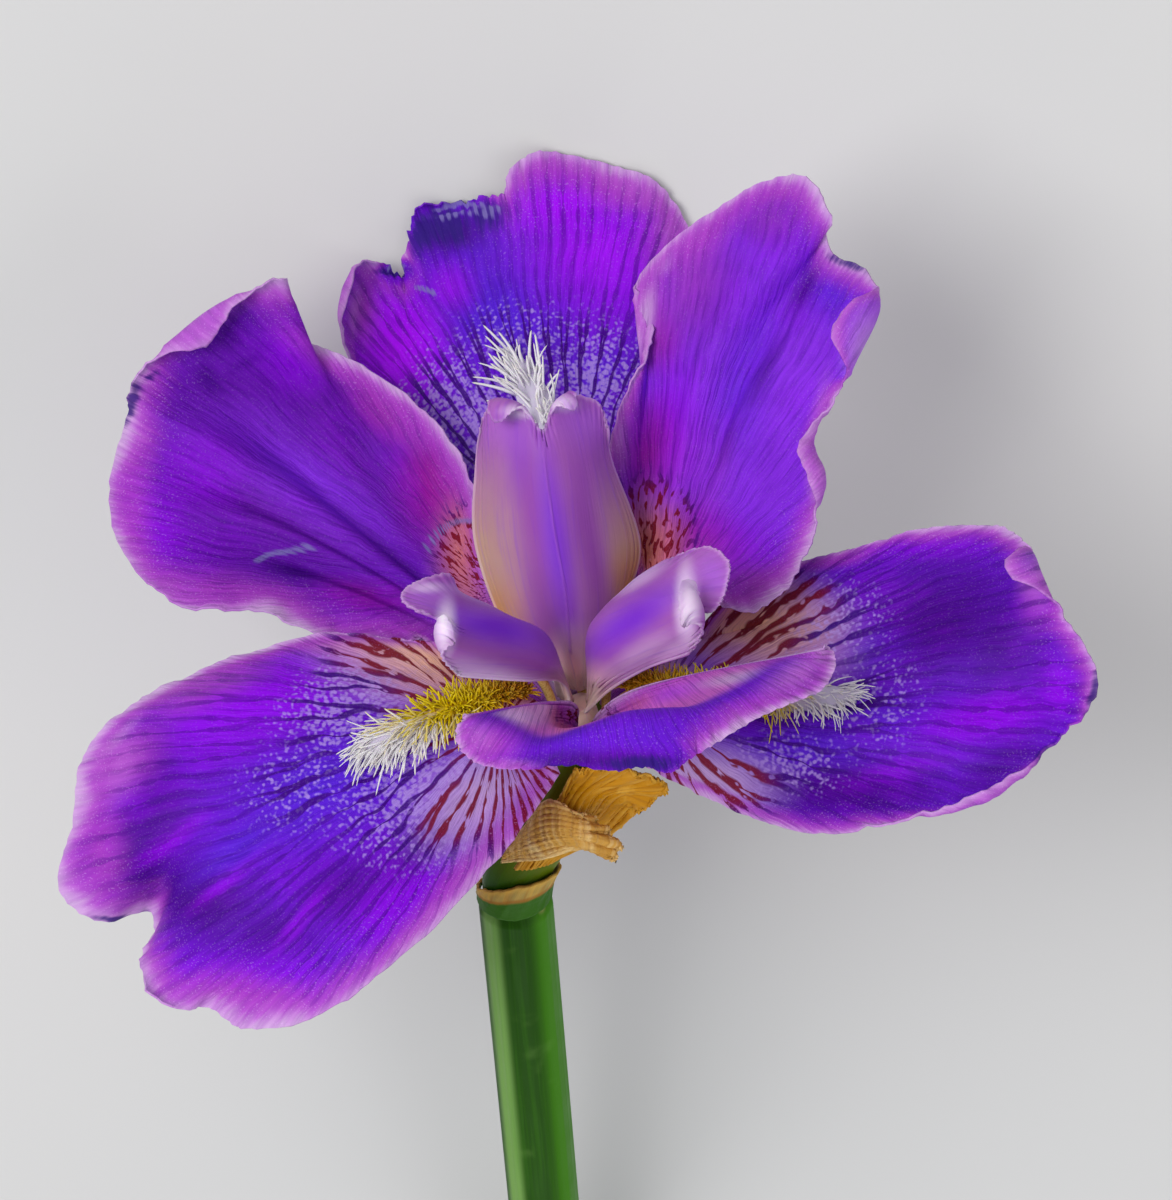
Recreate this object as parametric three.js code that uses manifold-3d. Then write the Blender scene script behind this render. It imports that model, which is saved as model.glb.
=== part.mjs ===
// Cut stem of bearded iris with one open bloom, laid down on a surface.
// Millimetres, +Z up. The flower is worked out in a front frame (x right, y up, z near) as seen
// in the picture, then turned onto the surface and put with its footprint centred on the origin.
import * as THREE from 'three';
import Module from 'manifold-3d';

// Scale and viewing distance
const BLOOM_WIDTH = 112;         // mm across the two outer petals
const BLOOM_PIXELS = 1038;       // the same distance in picture pixels
const VIEW_DISTANCE = 600;       // mm from the eye to the heart of the flower
const HEART = [582, 712];        // pixel of the flower's heart
const LIE_ANGLE = 22;            // degrees from the front frame to the surface it lies on
const SURFACE = -48.5;           // mm from the heart to that surface

// Thicknesses and gaps
const BLADE = 0.62;              // petal thickness
const GAP = 0.3;                 // left between neighbouring pieces

// Stem, ovary and tube
const STEM_RADIUS = 4.15;
const NECK_RADIUS = 3.5;         // top of the stem, under the collar
const STEM_TOP = [-7.5, -20.1, -20];
const STEM_DIRECTION = [0.0555, -0.707, -0.706];
const STEM_LENGTH = 86.4;
const RIM_HEIGHT = -1.95;        // top of the floral tube along the flower's axis
const COLUMN_RADIUS = 1.8;
const COLUMN_HEIGHT = 1.6;

// Rings on which the petals stand
const FALL_RING = 4.6;
const STANDARD_RING = 3.3;
const PETAL_START = -1.5;

// Beards
const HAIR_COUNT = { yellow: 24, white: 26 };
const HAIR_LENGTH = { yellow: 3.0, white: 5.0 };
const HAIR_RADIUS = 0.35;

const MM = BLOOM_WIDTH / BLOOM_PIXELS;
const RAD = Math.PI / 180;

// Vectors
const add = (a, b, k = 1) => [a[0] + b[0] * k, a[1] + b[1] * k, a[2] + b[2] * k];
const sub = (a, b) => add(a, b, -1);
const times = (a, k) => [a[0] * k, a[1] * k, a[2] * k];
const dot = (a, b) => a[0] * b[0] + a[1] * b[1] + a[2] * b[2];
const cross = (a, b) => [
  a[1] * b[2] - a[2] * b[1], a[2] * b[0] - a[0] * b[2], a[0] * b[1] - a[1] * b[0],
];
const size = (a) => Math.hypot(a[0], a[1], a[2]);
const unit = (a) => times(a, 1 / (size(a) + 1e-12));
const clamp = (x, low, high) => Math.min(Math.max(x, low), high);
const mix = (a, b, t) => a + (b - a) * t;

// The flower's own axis, and two directions square to it
const AXIS = unit([-0.09, 0.70, 0.71]);
const ACROSS = unit(add([1, 0, 0], AXIS, -AXIS[0]));
const BACK = cross(AXIS, ACROSS);
const SURFACE_UP = [0, -Math.sin(LIE_ANGLE * RAD), Math.cos(LIE_ANGLE * RAD)];
const NEAR = [0, 0, 1];

// Where the sight line through a pixel meets the plane square to `up` at `datum` + the offset
function place([px, py, offset], up, datum = 0) {
  const ax = (px - HEART[0]) * MM;
  const ay = (HEART[1] - py) * MM;
  const along = up[0] * ax + up[1] * ay;
  const z = (datum + offset - along) / (up[2] - along / VIEW_DISTANCE);
  const f = 1 - z / VIEW_DISTANCE;
  return [ax * f, ay * f, z];
}

// Point round the flower's axis: degrees, radius and height
function ring(degrees, radius, height) {
  const out = add(times(ACROSS, Math.cos(degrees * RAD)), BACK, Math.sin(degrees * RAD));
  return add(times(out, radius), AXIS, height);
}

// Smooth curve through points, t from 0 to 1
function curve(points, t) {
  const last = points.length - 1;
  const s = clamp(t, 0, 1) * last;
  const k = Math.min(Math.floor(s), last - 1);
  const w = s - k;
  const b = points[k];
  const c = points[k + 1];
  const a = k > 0 ? points[k - 1] : sub(times(b, 2), c);
  const d = k + 2 <= last ? points[k + 2] : sub(times(c, 2), b);
  const weights = [
    (-w + 2 * w * w - w ** 3) / 2, (2 - 5 * w * w + 3 * w ** 3) / 2,
    (w + 4 * w * w - 3 * w ** 3) / 2, (w ** 3 - w * w) / 2,
  ];
  return [0, 1, 2].map(
    (i) => a[i] * weights[0] + b[i] * weights[1] + c[i] * weights[2] + d[i] * weights[3],
  );
}

// Smooth bump: 1 at the centre, 0 beyond the spread
function bump(x, centre, spread) {
  const t = Math.min(Math.abs(x - centre) / spread, 1);
  return (1 - t * t) ** 2;
}

// Petals. Each row is a line across the petal in pixels and an offset towards the eye in mm;
// the last row is its outline. folds: [place across, spread, mm, place along, spread];
// ruffles: [waves, phase, mm, place across, spread]; rolls: [place across, spread, radius, degrees].
const PETALS = {
  fall_left: {
    sector: [185, 240], up: AXIS,
    rows: [
      [[500, 664, 4.5], [450, 670, 6.5], [420, 690, 7.5], [415, 722, 8], [430, 750, 6.5],
        [480, 768, 4], [552, 755, 0]],
      [[462, 647, 7], [355, 652, 9], [265, 690, 9], [205, 755, 7.5], [205, 830, 4.5],
        [245, 890, 1.5], [320, 910, 0], [430, 850, 0], [556, 765, -0.5]],
      [[425, 640, 8], [385, 639, 8], [330, 633, 8], [240, 653, 7], [175, 682, 6], [120, 722, 5],
        [84, 763, 3], [68, 830, 1], [58, 885, -3], [92, 916, -6], [148, 914, -8], [140, 938, -8],
        [140, 964, -8], [174, 1001, -9], [210, 1008, -10], [240, 1029, -10], [305, 1022, -9],
        [370, 984, -6], [450, 912, -3], [520, 832, -1], [560, 775, -1]],
    ],
    folds: [[0.3, 0.1, 1, 0.8, 0.4], [0.47, 0.08, -1, 0.8, 0.4]],
    ruffles: [[5, 0, 1.2, 0.5, 0.5]],
    rolls: [[0.64, 0.035, 1.2, 110]],
  },
  fall_right: {
    sector: [355, 300], up: AXIS, side: -1,
    rows: [
      [[665, 673, 2.8], [697, 643, 5.2], [730, 660, 7.5], [745, 692, 8], [735, 730, 6.5],
        [700, 758, 3], [625, 752, 0]],
      [[700, 628, 6], [800, 605, 11], [890, 610, 13], [940, 650, 13], [950, 700, 11],
        [910, 755, 8], [850, 780, 5], [740, 790, 1.5], [640, 760, -0.5]],
      [[730, 594, 8], [800, 562, 13], [860, 546, 15], [920, 530, 17], [975, 525, 18],
        [1005, 524, 19], [1038, 556, 19], [1060, 605, 18], [1087, 650, 16], [1098, 690, 13],
        [1073, 732, 10], [1030, 772, 9], [970, 806, 8], [890, 828, 5], [820, 835, 2],
        [750, 818, 0], [695, 792, -1], [645, 766, -1]],
    ],
    ruffles: [[5, 0.3, 1.2, 0.5, 0.5]],
    rolls: [[0.385, 0.05, 2.3, 180], [0.68, 0.13, 1.4, 120]],
  },
  fall_back: {
    sector: [118, 62], up: SURFACE_UP, datum: SURFACE, side: -1,
    rows: [
      [[505, 575, 32], [540, 550, 35.5], [572, 542, 36.4], [606, 550, 35.5], [640, 575, 32]],
      [[440, 500, 24], [412, 415, 17], [450, 350, 12.5], [520, 325, 11], [590, 340, 12.5],
        [632, 395, 17], [650, 480, 24]],
      [[420, 520, 26], [375, 440, 18], [347, 345, 9], [355, 285, 4], [386, 264, 2.5],
        [402, 276, 2], [409, 250, 1], [412, 216, 0.8], [446, 203, 1.2], [480, 193, 1.6],
        [508, 192, 1.5], [518, 162, 1.5], [545, 148, 1.5], [605, 160, 1], [655, 180, 1],
        [684, 225, 0.8], [700, 290, 3], [690, 370, 9], [670, 450, 17], [650, 520, 26]],
    ],
    ruffles: [[4, 0.1, 1, 0.5, 0.45]],
    rolls: [[0.14, 0.1, 2.4, 170], [0.4, 0.06, 1.4, 120]],
  },
  standard_left: {
    sector: [125, 175], up: NEAR,
    rows: [
      [[492, 588, -6], [472, 598, -8], [458, 612, -7.5], [446, 628, -6], [438, 648, -4]],
      [[484, 555, -8], [440, 500, -12], [375, 450, -14], [290, 450, -13], [240, 510, -10],
        [300, 575, -6], [420, 640, -4]],
      [[479, 535, -8], [476, 495, -9], [455, 445, -10], [410, 397, -12], [350, 358, -13],
        [300, 337, -12], [280, 305, -9], [277, 276, -6], [235, 293, -7], [185, 330, -9],
        [135, 378, -11], [128, 412, -12], [108, 485, -10], [122, 550, -6], [180, 608, 0],
        [260, 614, -1], [340, 643, -3], [395, 646, -3.5], [425, 648, -4]],
    ],
    folds: [[0.5, 0.09, -2, 0.8, 0.45], [0.58, 0.06, 1.2, 0.8, 0.45],
      [0.78, 0.08, -1.5, 0.72, 0.25], [0.7, 0.06, 1.2, 0.75, 0.3]],
    ruffles: [[5, 0.2, 1, 0.55, 0.4]],
    rolls: [[0.48, 0.11, 1.9, 190]],
  },
  standard_right: {
    sector: [55, 15], up: NEAR, side: -1,
    rows: [
      [[640, 610, -3], [653, 600, -4], [665, 598, -2], [674, 604, 1], [681, 614, 4.5]],
      [[628, 560, -5], [640, 470, -6], [680, 380, -3], [740, 360, 3], [780, 430, 8], [765, 520, 9],
        [708, 600, 8]],
      [[625, 530, -6], [610, 465, -6], [614, 425, -5], [640, 360, -4], [647, 322, -5],
        [635, 285, -6], [665, 245, -5], [720, 205, -2], [770, 178, 2], [812, 177, 6],
        [832, 212, 9], [828, 249, 8], [865, 268, 11], [888, 310, 14], [862, 368, 15],
        [836, 400, 14], [818, 442, 13], [830, 475, 15], [822, 512, 14], [806, 558, 13],
        [782, 595, 12], [750, 613, 11], [722, 606, 9]],
    ],
    folds: [[0.5, 0.08, -2, 0.8, 0.45], [0.43, 0.07, 1.2, 0.8, 0.45],
      [0.62, 0.08, 1.2, 0.75, 0.4]],
    rolls: [[0.17, 0.1, 1.3, 60], [0.61, 0.06, 2.4, 175], [0.76, 0.1, 1.5, 150]],
  },
  standard_front: {
    sector: [245, 295], up: NEAR, side: -1,
    rows: [
      [[576, 708, 6.5], [572, 730, 6], [585, 746, 7.5], [600, 735, 6.5], [597, 714, 6.5]],
      [[555, 702, 10.5], [552, 726, 12], [600, 742, 15.5], [652, 716, 15.5], [650, 684, 14]],
      [[474, 716, 25], [500, 722, 29], [540, 741, 33.5], [580, 732, 35], [625, 715, 36],
        [662, 711, 35.5], [702, 708, 34], [738, 692, 32], [772, 671, 29], [806, 652, 26]],
      [[465, 714, 26], [455, 732, 27], [460, 750, 29], [480, 765, 31], [520, 770, 33],
        [570, 766, 34], [610, 772, 35], [645, 768, 36], [670, 774, 36], [690, 760, 36],
        [720, 742, 35], [760, 718, 33], [800, 700, 31], [825, 688, 29], [837, 662, 27],
        [828, 643, 26]],
    ],
  },
  style_back: {
    arm: [135, 45], up: NEAR, side: -1, rim: 1,
    rows: [
      [[510, 635, -1.5], [535, 625, 2.4], [571, 618, 5], [603, 612, 2.4], [622, 606, -1.5]],
      [[476, 545, -1.5], [512, 545, 4], [557, 545, 7], [600, 540, 4], [640, 545, -1.5]],
      [[476, 468, 1], [505, 465, 6], [547, 462, 8.5], [585, 455, 6], [612, 462, 1]],
      [[480, 430, 4], [486, 411, 5], [502, 400, 6.5], [525, 406, 8], [542, 428, 8.6],
        [552, 404, 8], [572, 393, 6.5], [598, 402, 5], [609, 430, 4]],
    ],
    rolls: [[0.31, 0.15, 1.5, 215], [0.66, 0.11, 1.3, 200]],
  },
  style_left: {
    arm: [165, 250], up: NEAR, side: 1, rim: 0.9,
    rows: [
      [[545, 646, 6], [547, 639, 9.5], [548, 650, 11.8], [553, 668, 12], [562, 682, 9.5]],
      [[498, 612, 10], [506, 620, 15], [505, 635, 18], [512, 658, 19], [522, 680, 15]],
      [[462, 594, 16], [462, 612, 21], [462, 628, 24], [462, 652, 25], [466, 676, 20]],
      [[452, 590, 17], [447, 572, 19], [425, 577, 22], [403, 588, 24], [401, 600, 25],
        [418, 611, 25.5], [446, 617, 25], [436, 619, 27], [432, 634, 27.5], [438, 652, 27],
        [447, 665, 25], [458, 673, 22]],
    ],
    rolls: [[0.72, 0.16, 1.3, 190]],
  },
  style_right: {
    arm: [375, 285], up: NEAR, side: -1, rim: 0.9,
    rows: [
      [[593, 630, 6.5], [590, 634, 9.5], [596, 650, 11.8], [603, 672, 12], [610, 690, 9]],
      [[628, 586, 11], [625, 606, 15], [632, 625, 18], [640, 650, 19], [648, 668, 15]],
      [[662, 562, 16], [662, 590, 21], [672, 605, 24], [685, 630, 25], [684, 656, 20]],
      [[672, 561, 17], [686, 552, 19], [712, 546, 22], [730, 560, 24], [730, 580, 25],
        [722, 604, 25.5], [708, 612, 25], [697, 588, 27], [706, 606, 27.5], [706, 624, 27],
        [700, 640, 25], [692, 651, 22]],
    ],
    rolls: [[0.72, 0.16, 1.6, 190]],
  },
  spathe_inner: {
    up: NEAR, side: -1, rim: 0.6,
    start: [[515, 868, -9.2], [530, 868, -8.8], [545, 864, -8.6], [558, 858, -10.2]],
    rows: [
      [[545, 824, -4.4], [567, 818, -3.9], [591, 818, -6.5], [603, 838, -11]],
      [[562, 792, -1.4], [590, 789, -1.2], [620, 794, -3], [634, 814, -7.5]],
      [[575, 769, 2.4], [605, 766, 3.6], [635, 769, 2], [668, 786, -2], [655, 801, -5],
        [625, 822, -9], [604, 838, -12]],
    ],
    ruffles: [[6, 0, 0.3, 0.5, 0.6]],
  },
  spathe_outer: {
    up: NEAR, side: -1, rim: 0.6,
    start: [[518, 836, -7.4], [506, 850, -8.6], [503, 862, -10]],
    rows: [
      [[547, 801, 0.1], [541, 830, -1.5], [536, 859, -5]],
      [[578, 813, -0.6], [575, 832, -0.4], [571, 850, -3.8]],
      [[592, 816, -3], [606, 832, -4], [619, 844, -4.5], [617, 855, -5.5], [603, 846, -5.6]],
    ],
    ruffles: [[4, 0.2, 0.9, 0.5, 0.6]],
  },
};

// Foot of a style arm: share across it and distance from the axis; its height along the axis
const ARM_FOOT = [[0, 2.5], [0.27, 1.5], [0.5, 1.05], [0.73, 1.5], [1, 2.5]];
const ARM_HEIGHT = 2.3;
const NECK_SHARES = [0, 0.25, 0.5, 0.75, 1];

// Neck line of a petal: radius and height in its middle, and what its sides add to each
const NECKS = {
  fall: { radius: 6.5, height: 6, wider: 0.5, higher: -4 },
  standard: { radius: 7.5, height: 0.6, wider: 0, higher: 0.8 },
};

// First rows: the ring that holds the petal, and the neck above it
function firstRows(name, petal) {
  if (petal.start) return [petal.start.map((p) => place(p, petal.up))];
  const [from, to] = petal.arm ?? petal.sector;
  if (petal.arm) return [ARM_FOOT.map(([t, r]) => ring(mix(from, to, t), r, ARM_HEIGHT))];
  const fall = name.startsWith('fall');
  const radius = fall ? FALL_RING : STANDARD_RING;
  const base = NECK_SHARES.map((t) => ring(mix(from, to, t), radius, PETAL_START));
  if (name === 'standard_front') return [base];
  const shape = fall ? NECKS.fall : NECKS.standard;
  const neck = NECK_SHARES.map((t) => {
    const edge = (2 * t - 1) ** 2;
    return ring(mix(from, to, t), shape.radius + shape.wider * edge, shape.height + shape.higher * edge);
  });
  return [base, neck];
}

for (const [name, petal] of Object.entries(PETALS)) {
  petal.lines = [...firstRows(name, petal),
    ...petal.rows.map((row) => row.map((p) => place(p, petal.up, petal.datum ?? 0)))];
}

const STEP = 0.004;
const PATCH_STEP = 0.003;
const BAND = 0.8;                // the margin's own band of the grid starts here
const RIM_RADIUS = 1.0;          // arc of a plain margin
const RIM_TURN = 8;              // and how far it turns, in degrees

// Difference of a surface function along and across, and the normal between them
function slopes(at, u, v, step) {
  const along = sub(at(Math.min(u + step, 1), v), at(Math.max(u - step, 0), v));
  const across = sub(at(u, Math.min(v + step, 1)), at(u, Math.max(v - step, 0)));
  const span = Math.min(u + step, 1) - Math.max(u - step, 0);
  return { normal: unit(cross(along, across)), speed: size(along) / span };
}

// Sheet through the rows, with its lengthwise folds and ruffled margin
function face(petal, u, v) {
  const side = petal.side ?? 1;
  const plain = (a, b) => curve(petal.lines.map((line) => curve(line, b)), a);
  const bent = (a, b) => {
    let h = 0;
    for (const [v0, dv, high, u0, du] of petal.folds ?? []) {
      h += high * bump(b, v0, dv) * bump(a, u0, du);
    }
    for (const [waves, phase, high, v0, dv] of petal.ruffles ?? []) {
      h += high * Math.sin(2 * Math.PI * (waves * b + phase)) * bump(b, v0, dv)
        * clamp((a - 0.45) / 0.55, 0, 1) ** 2;
    }
    return h === 0 ? plain(a, b) : add(plain(a, b), slopes(plain, a, b, STEP).normal, side * h);
  };
  const { normal, speed } = slopes(bent, u, v, STEP);
  return { point: bent(u, v), normal: times(normal, side), speed };
}

// Finished petal: beyond BAND the margin turns over on an arc that keeps the outline
function petalPoint(petal, a, v) {
  const rim = petal.rim ?? RIM_RADIUS;
  let radius = rim;
  let turn = RIM_TURN * RAD;
  for (const [v0, dv, r, degrees] of petal.rolls ?? []) {
    const b = bump(v, v0, dv);
    radius += b * (r - rim);
    turn += b * degrees * RAD;
  }
  const start = 1 - radius / face(petal, 1, v).speed;
  if (a <= BAND) return face(petal, (a / BAND) * start, v).point;
  const t = (a - BAND) / (1 - BAND);
  const swing = Math.sin(Math.min(turn, Math.PI / 2));
  const along = start + (1 - start) * Math.sin(turn * t) / swing;
  const { point, normal } = face(petal, along, v);
  return add(point, normal, radius * (1 - Math.cos(turn * t)) / swing);
}

// Closed blade: a grid of points and normals given half the thickness on each side
function blade(points, normals, thick) {
  const nu = points.length;
  const nv = points[0].length;
  const positions = [];
  for (const way of [0.5, -0.5]) {
    for (let i = 0; i < nu; i += 1) {
      for (let j = 0; j < nv; j += 1) {
        positions.push(...add(points[i][j], normals[i][j], way * thick));
      }
    }
  }
  const at = (i, j, below) => i * nv + j + (below ? nu * nv : 0);
  const index = [];
  for (let i = 0; i + 1 < nu; i += 1) {
    for (let j = 0; j + 1 < nv; j += 1) {
      index.push(at(i, j), at(i + 1, j), at(i + 1, j + 1));
      index.push(at(i, j), at(i + 1, j + 1), at(i, j + 1));
      index.push(at(i, j, 1), at(i + 1, j + 1, 1), at(i + 1, j, 1));
      index.push(at(i, j, 1), at(i, j + 1, 1), at(i + 1, j + 1, 1));
    }
  }
  const edge = [];
  for (let j = 0; j + 1 < nv; j += 1) edge.push([0, j]);
  for (let i = 0; i + 1 < nu; i += 1) edge.push([i, nv - 1]);
  for (let j = nv - 1; j > 0; j -= 1) edge.push([nu - 1, j]);
  for (let i = nu - 1; i > 0; i -= 1) edge.push([i, 0]);
  edge.forEach(([i, j], k) => {
    const [m, n] = edge[(k + 1) % edge.length];
    index.push(at(i, j), at(m, n), at(m, n, 1));
    index.push(at(i, j), at(m, n, 1), at(i, j, 1));
  });
  return outward({ positions, index });
}

// Turns every face round when the body's volume comes out negative
function outward(body) {
  const { positions: p, index } = body;
  const point = (i) => [p[3 * i], p[3 * i + 1], p[3 * i + 2]];
  let volume = 0;
  for (let k = 0; k < index.length; k += 3) {
    volume += dot(point(index[k]), cross(point(index[k + 1]), point(index[k + 2])));
  }
  for (let k = 0; volume < 0 && k < index.length; k += 3) {
    [index[k + 1], index[k + 2]] = [index[k + 2], index[k + 1]];
  }
  return body;
}

// Points of a surface function on a grid, with the normals on its upper side
function patch(at, us, vs, side) {
  const points = us.map((u) => vs.map((v) => at(u, v)));
  const normals = us.map((u) => vs.map((v) => times(slopes(at, u, v, PATCH_STEP).normal, side)));
  return { points, normals };
}

const steps = (from, to, count) => Array.from({ length: count + 1 }, (_, i) => mix(from, to, i / count));

// Grid of a blade: rows up to the margin's band, rows in it, and columns for each outline point
const GRIDS = {
  fall: { along: 9, columns: 1.3 },
  standard: { along: 6, columns: 1.3 },
  style: { along: 4, columns: 1.5 },
  spathe: { along: 4, columns: 1.5 },
};
const BAND_ROWS = 4;

function petalBody(name) {
  const petal = PETALS[name];
  const outline = petal.rows[petal.rows.length - 1].length;
  const grid = GRIDS[name.split('_')[0]];
  const us = [...steps(0, BAND, grid.along), ...steps(BAND, 1, BAND_ROWS).slice(1)];
  const vs = steps(0, 1, Math.round((outline - 1) * grid.columns));
  const at = (a, v) => petalPoint(petal, a, v);
  const { points, normals } = patch(at, us, vs, petal.side ?? 1);
  return blade(points, normals, BLADE);
}

// Round body along a path: circles of the given radii, ends closed
function tube(path, radii, sides, squash = () => 1) {
  const positions = [];
  const index = [];
  const count = path.length;
  let across = unit(cross(sub(path[1], path[0]), [0.3, 1, 0.2]));
  for (let i = 0; i < count; i += 1) {
    const way = unit(sub(path[Math.min(i + 1, count - 1)], path[Math.max(i - 1, 0)]));
    across = unit(add(across, way, -dot(across, way)));
    const other = cross(way, across);
    for (let k = 0; k < sides; k += 1) {
      const angle = (2 * Math.PI * k) / sides;
      const r = radii[i] * squash(angle);
      const side = add(path[i], across, r * Math.cos(angle));
      positions.push(...add(side, other, r * Math.sin(angle)));
    }
  }
  for (let i = 0; i + 1 < count; i += 1) {
    for (let k = 0; k < sides; k += 1) {
      const a = i * sides + k;
      const b = i * sides + ((k + 1) % sides);
      index.push(a, b, b + sides);
      index.push(a, b + sides, a + sides);
    }
  }
  for (const [row, order] of [[0, 1], [count - 1, -1]]) {
    const centre = positions.length / 3;
    positions.push(...path[row]);
    for (let k = 0; k < sides; k += 1) {
      const a = row * sides + k;
      const b = row * sides + ((k + 1) % sides);
      index.push(centre, order > 0 ? b : a, order > 0 ? a : b);
    }
  }
  return outward({ positions, index });
}

// Three-sided hair
function spike(root, way, long, radius) {
  const across = unit(cross(way, [0.3, 1, 0.2]));
  const other = cross(way, across);
  const foot = [0, 120, 240].map((d) => {
    const side = add(root, across, radius * Math.cos(d * RAD));
    return add(side, other, radius * Math.sin(d * RAD));
  });
  const positions = [...foot.flat(), ...add(root, way, long)];
  return outward({ positions, index: [0, 2, 1, 0, 1, 3, 1, 2, 3, 2, 0, 3] });
}

// Beards: [place along, place across] on the fall's face; yellow in the throat, white beyond
const BEARDS = {
  left: {
    fall: 'fall_left', split: 0.6,
    path: [[0.20, 0.44], [0.26, 0.50], [0.33, 0.535], [0.40, 0.535], [0.46, 0.52]],
  },
  right: {
    fall: 'fall_right', split: 0.6,
    path: [[0.20, 0.44], [0.28, 0.50], [0.36, 0.52], [0.44, 0.52], [0.52, 0.50]],
  },
  back: {
    fall: 'fall_back', split: 0.66,
    path: [[0.24, 0.48], [0.34, 0.49], [0.44, 0.495], [0.52, 0.49], [0.57, 0.475]],
  },
};
const BEARD_WIDTH = 0.05;
const BEARD_THICK = 0.8;
const BEARD_SEAT = 0.36;         // gap under a beard's strip
const BEARD_GAP = 0.02;          // share of its length left free between its two colours
const BEARD_ROUNDING = 0.75;     // its end starts to narrow here

// Steady pseudo-random numbers
function dice(seed) {
  let state = seed;
  return () => {
    state = (state * 1664525 + 1013904223) % 4294967296;
    return state / 4294967296;
  };
}

const wasm = await Module();
wasm.setup();

function solid({ positions, index }) {
  const mesh = new wasm.Mesh({
    numProp: 3,
    vertProperties: new Float32Array(positions),
    triVerts: new Uint32Array(index),
  });
  mesh.merge();
  return new wasm.Manifold(mesh);
}

// Width of a beard's strip at s along it, narrowed in a half round at its end
function beardWidth(s) {
  const t = Math.max(s - BEARD_ROUNDING, 0) / (1 - BEARD_ROUNDING);
  return BEARD_WIDTH * Math.sqrt(Math.max(1 - t * t, 0.12));
}

// Petal surface under a beard, with the directions along and across the beard there
function beardGround(beard, s, w) {
  const petal = PETALS[beard.fall];
  const at = (t, x) => {
    const [a, v] = curve(beard.path.map((p) => [...p, 0]), t);
    return petalPoint(petal, a, v + x * beardWidth(t));
  };
  const e = 0.01;
  const along = unit(sub(at(Math.min(s + e, 1), w), at(Math.max(s - e, 0), w)));
  const across = unit(sub(at(s, w + 20 * e), at(s, w - 20 * e)));
  const normal = times(unit(cross(along, across)), petal.side ?? 1);
  return { point: at(s, w), normal, along, across };
}

// Strip of one colour with its hairs, joined into one body
function beardBody(side, colour) {
  const beard = BEARDS[side];
  const yellow = colour === 'yellow';
  const [from, to] = yellow ? [0, beard.split] : [beard.split + BEARD_GAP, 1];
  const rows = steps(from, to, 5).map((s) => [-1, -0.4, 0.4, 1].map((w) => beardGround(beard, s, w)));
  const lift = BLADE / 2 + BEARD_SEAT + BEARD_THICK / 2;
  const middle = rows.map((row) => row.map((g) => add(g.point, g.normal, lift)));
  const normals = rows.map((row) => row.map((g) => g.normal));
  const bodies = [solid(blade(middle, normals, BEARD_THICK))];
  const roll = dice(side.length * 7 + colour.length);
  const count = HAIR_COUNT[colour];
  for (let k = 0; k < count; k += 1) {
    const s = mix(from + 0.03, to - 0.03, (k + 0.5) / count);
    const w = (roll() * 2 - 1) * 0.8;
    const g = beardGround(beard, s, w);
    const lean = yellow ? 0.2 : 0.3 + 0.6 * Math.max(0, s - 0.6) / 0.4;
    const forward = add(g.normal, g.along, lean + 0.3 * roll());
    const way = unit(add(forward, g.across, 0.9 * w + 0.3 * (roll() - 0.5)));
    const root = add(g.point, g.normal, lift);
    const long = HAIR_LENGTH[colour] * (0.8 + 0.35 * roll()) * (yellow ? mix(0.6, 1, s / to) : 1);
    bodies.push(solid(spike(root, way, long, HAIR_RADIUS)));
  }
  const mesh = wasm.Manifold.union(bodies).getMesh();
  return { positions: Array.from(mesh.vertProperties), index: Array.from(mesh.triVerts) };
}

// Stem, ovary with the floral tube, collar and style column
const STEM_WAY = unit(STEM_DIRECTION);
const STEM_SHAPE = [[0, NECK_RADIUS], [0.03, 3.6], [0.06, 4.1], [0.3, STEM_RADIUS], [0.6, STEM_RADIUS],
  [0.94, STEM_RADIUS], [1, 4.03]];   // share of its length and radius

function stemBody() {
  const path = STEM_SHAPE.map(([t]) => add(STEM_TOP, STEM_WAY, t * STEM_LENGTH));
  return tube(path, STEM_SHAPE.map(([, r]) => r), 20);
}

function ovaryBody() {
  const top = times(AXIS, RIM_HEIGHT);
  const path = [top, add(top, AXIS, -0.9), add(top, AXIS, -2.6), [-1.3, -6.5, -6.4],
    [-2.9, -10.4, -10.2], [-4.9, -13.5, -13.3], [-6.7, -16.2, -16],
    add(STEM_TOP, STEM_WAY, -2.2), add(STEM_TOP, STEM_WAY, -GAP)];
  const radii = [5.3, 5.2, 3.9, 3.2, 3.1, 3.5, 3.6, 3.4, 3.4];
  return tube(path, radii, 18, (angle) => 1 + 0.035 * Math.cos(3 * angle));
}

function columnBody() {
  const path = [PETAL_START, -0.6, 0.6, COLUMN_HEIGHT].map((h) => times(AXIS, h));
  return tube(path, [1, 1, 0.9, 0.75].map((k) => k * COLUMN_RADIUS), 12);
}

// Papery collar round the neck of the stem, cut aslant and higher at the front and right
const COLLAR_SIDES = 24;
const COLLAR_ROWS = 4;
const COLLAR_LOW = { middle: -0.9, right: -0.6, front: -1.6 };   // mm along the stem
const COLLAR_WALL = { middle: 1.9, right: 0.9, front: 0.9 };     // mm high
const NECK_BEND = 0.045;         // the neck leans to the right by this times the height squared

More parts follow.
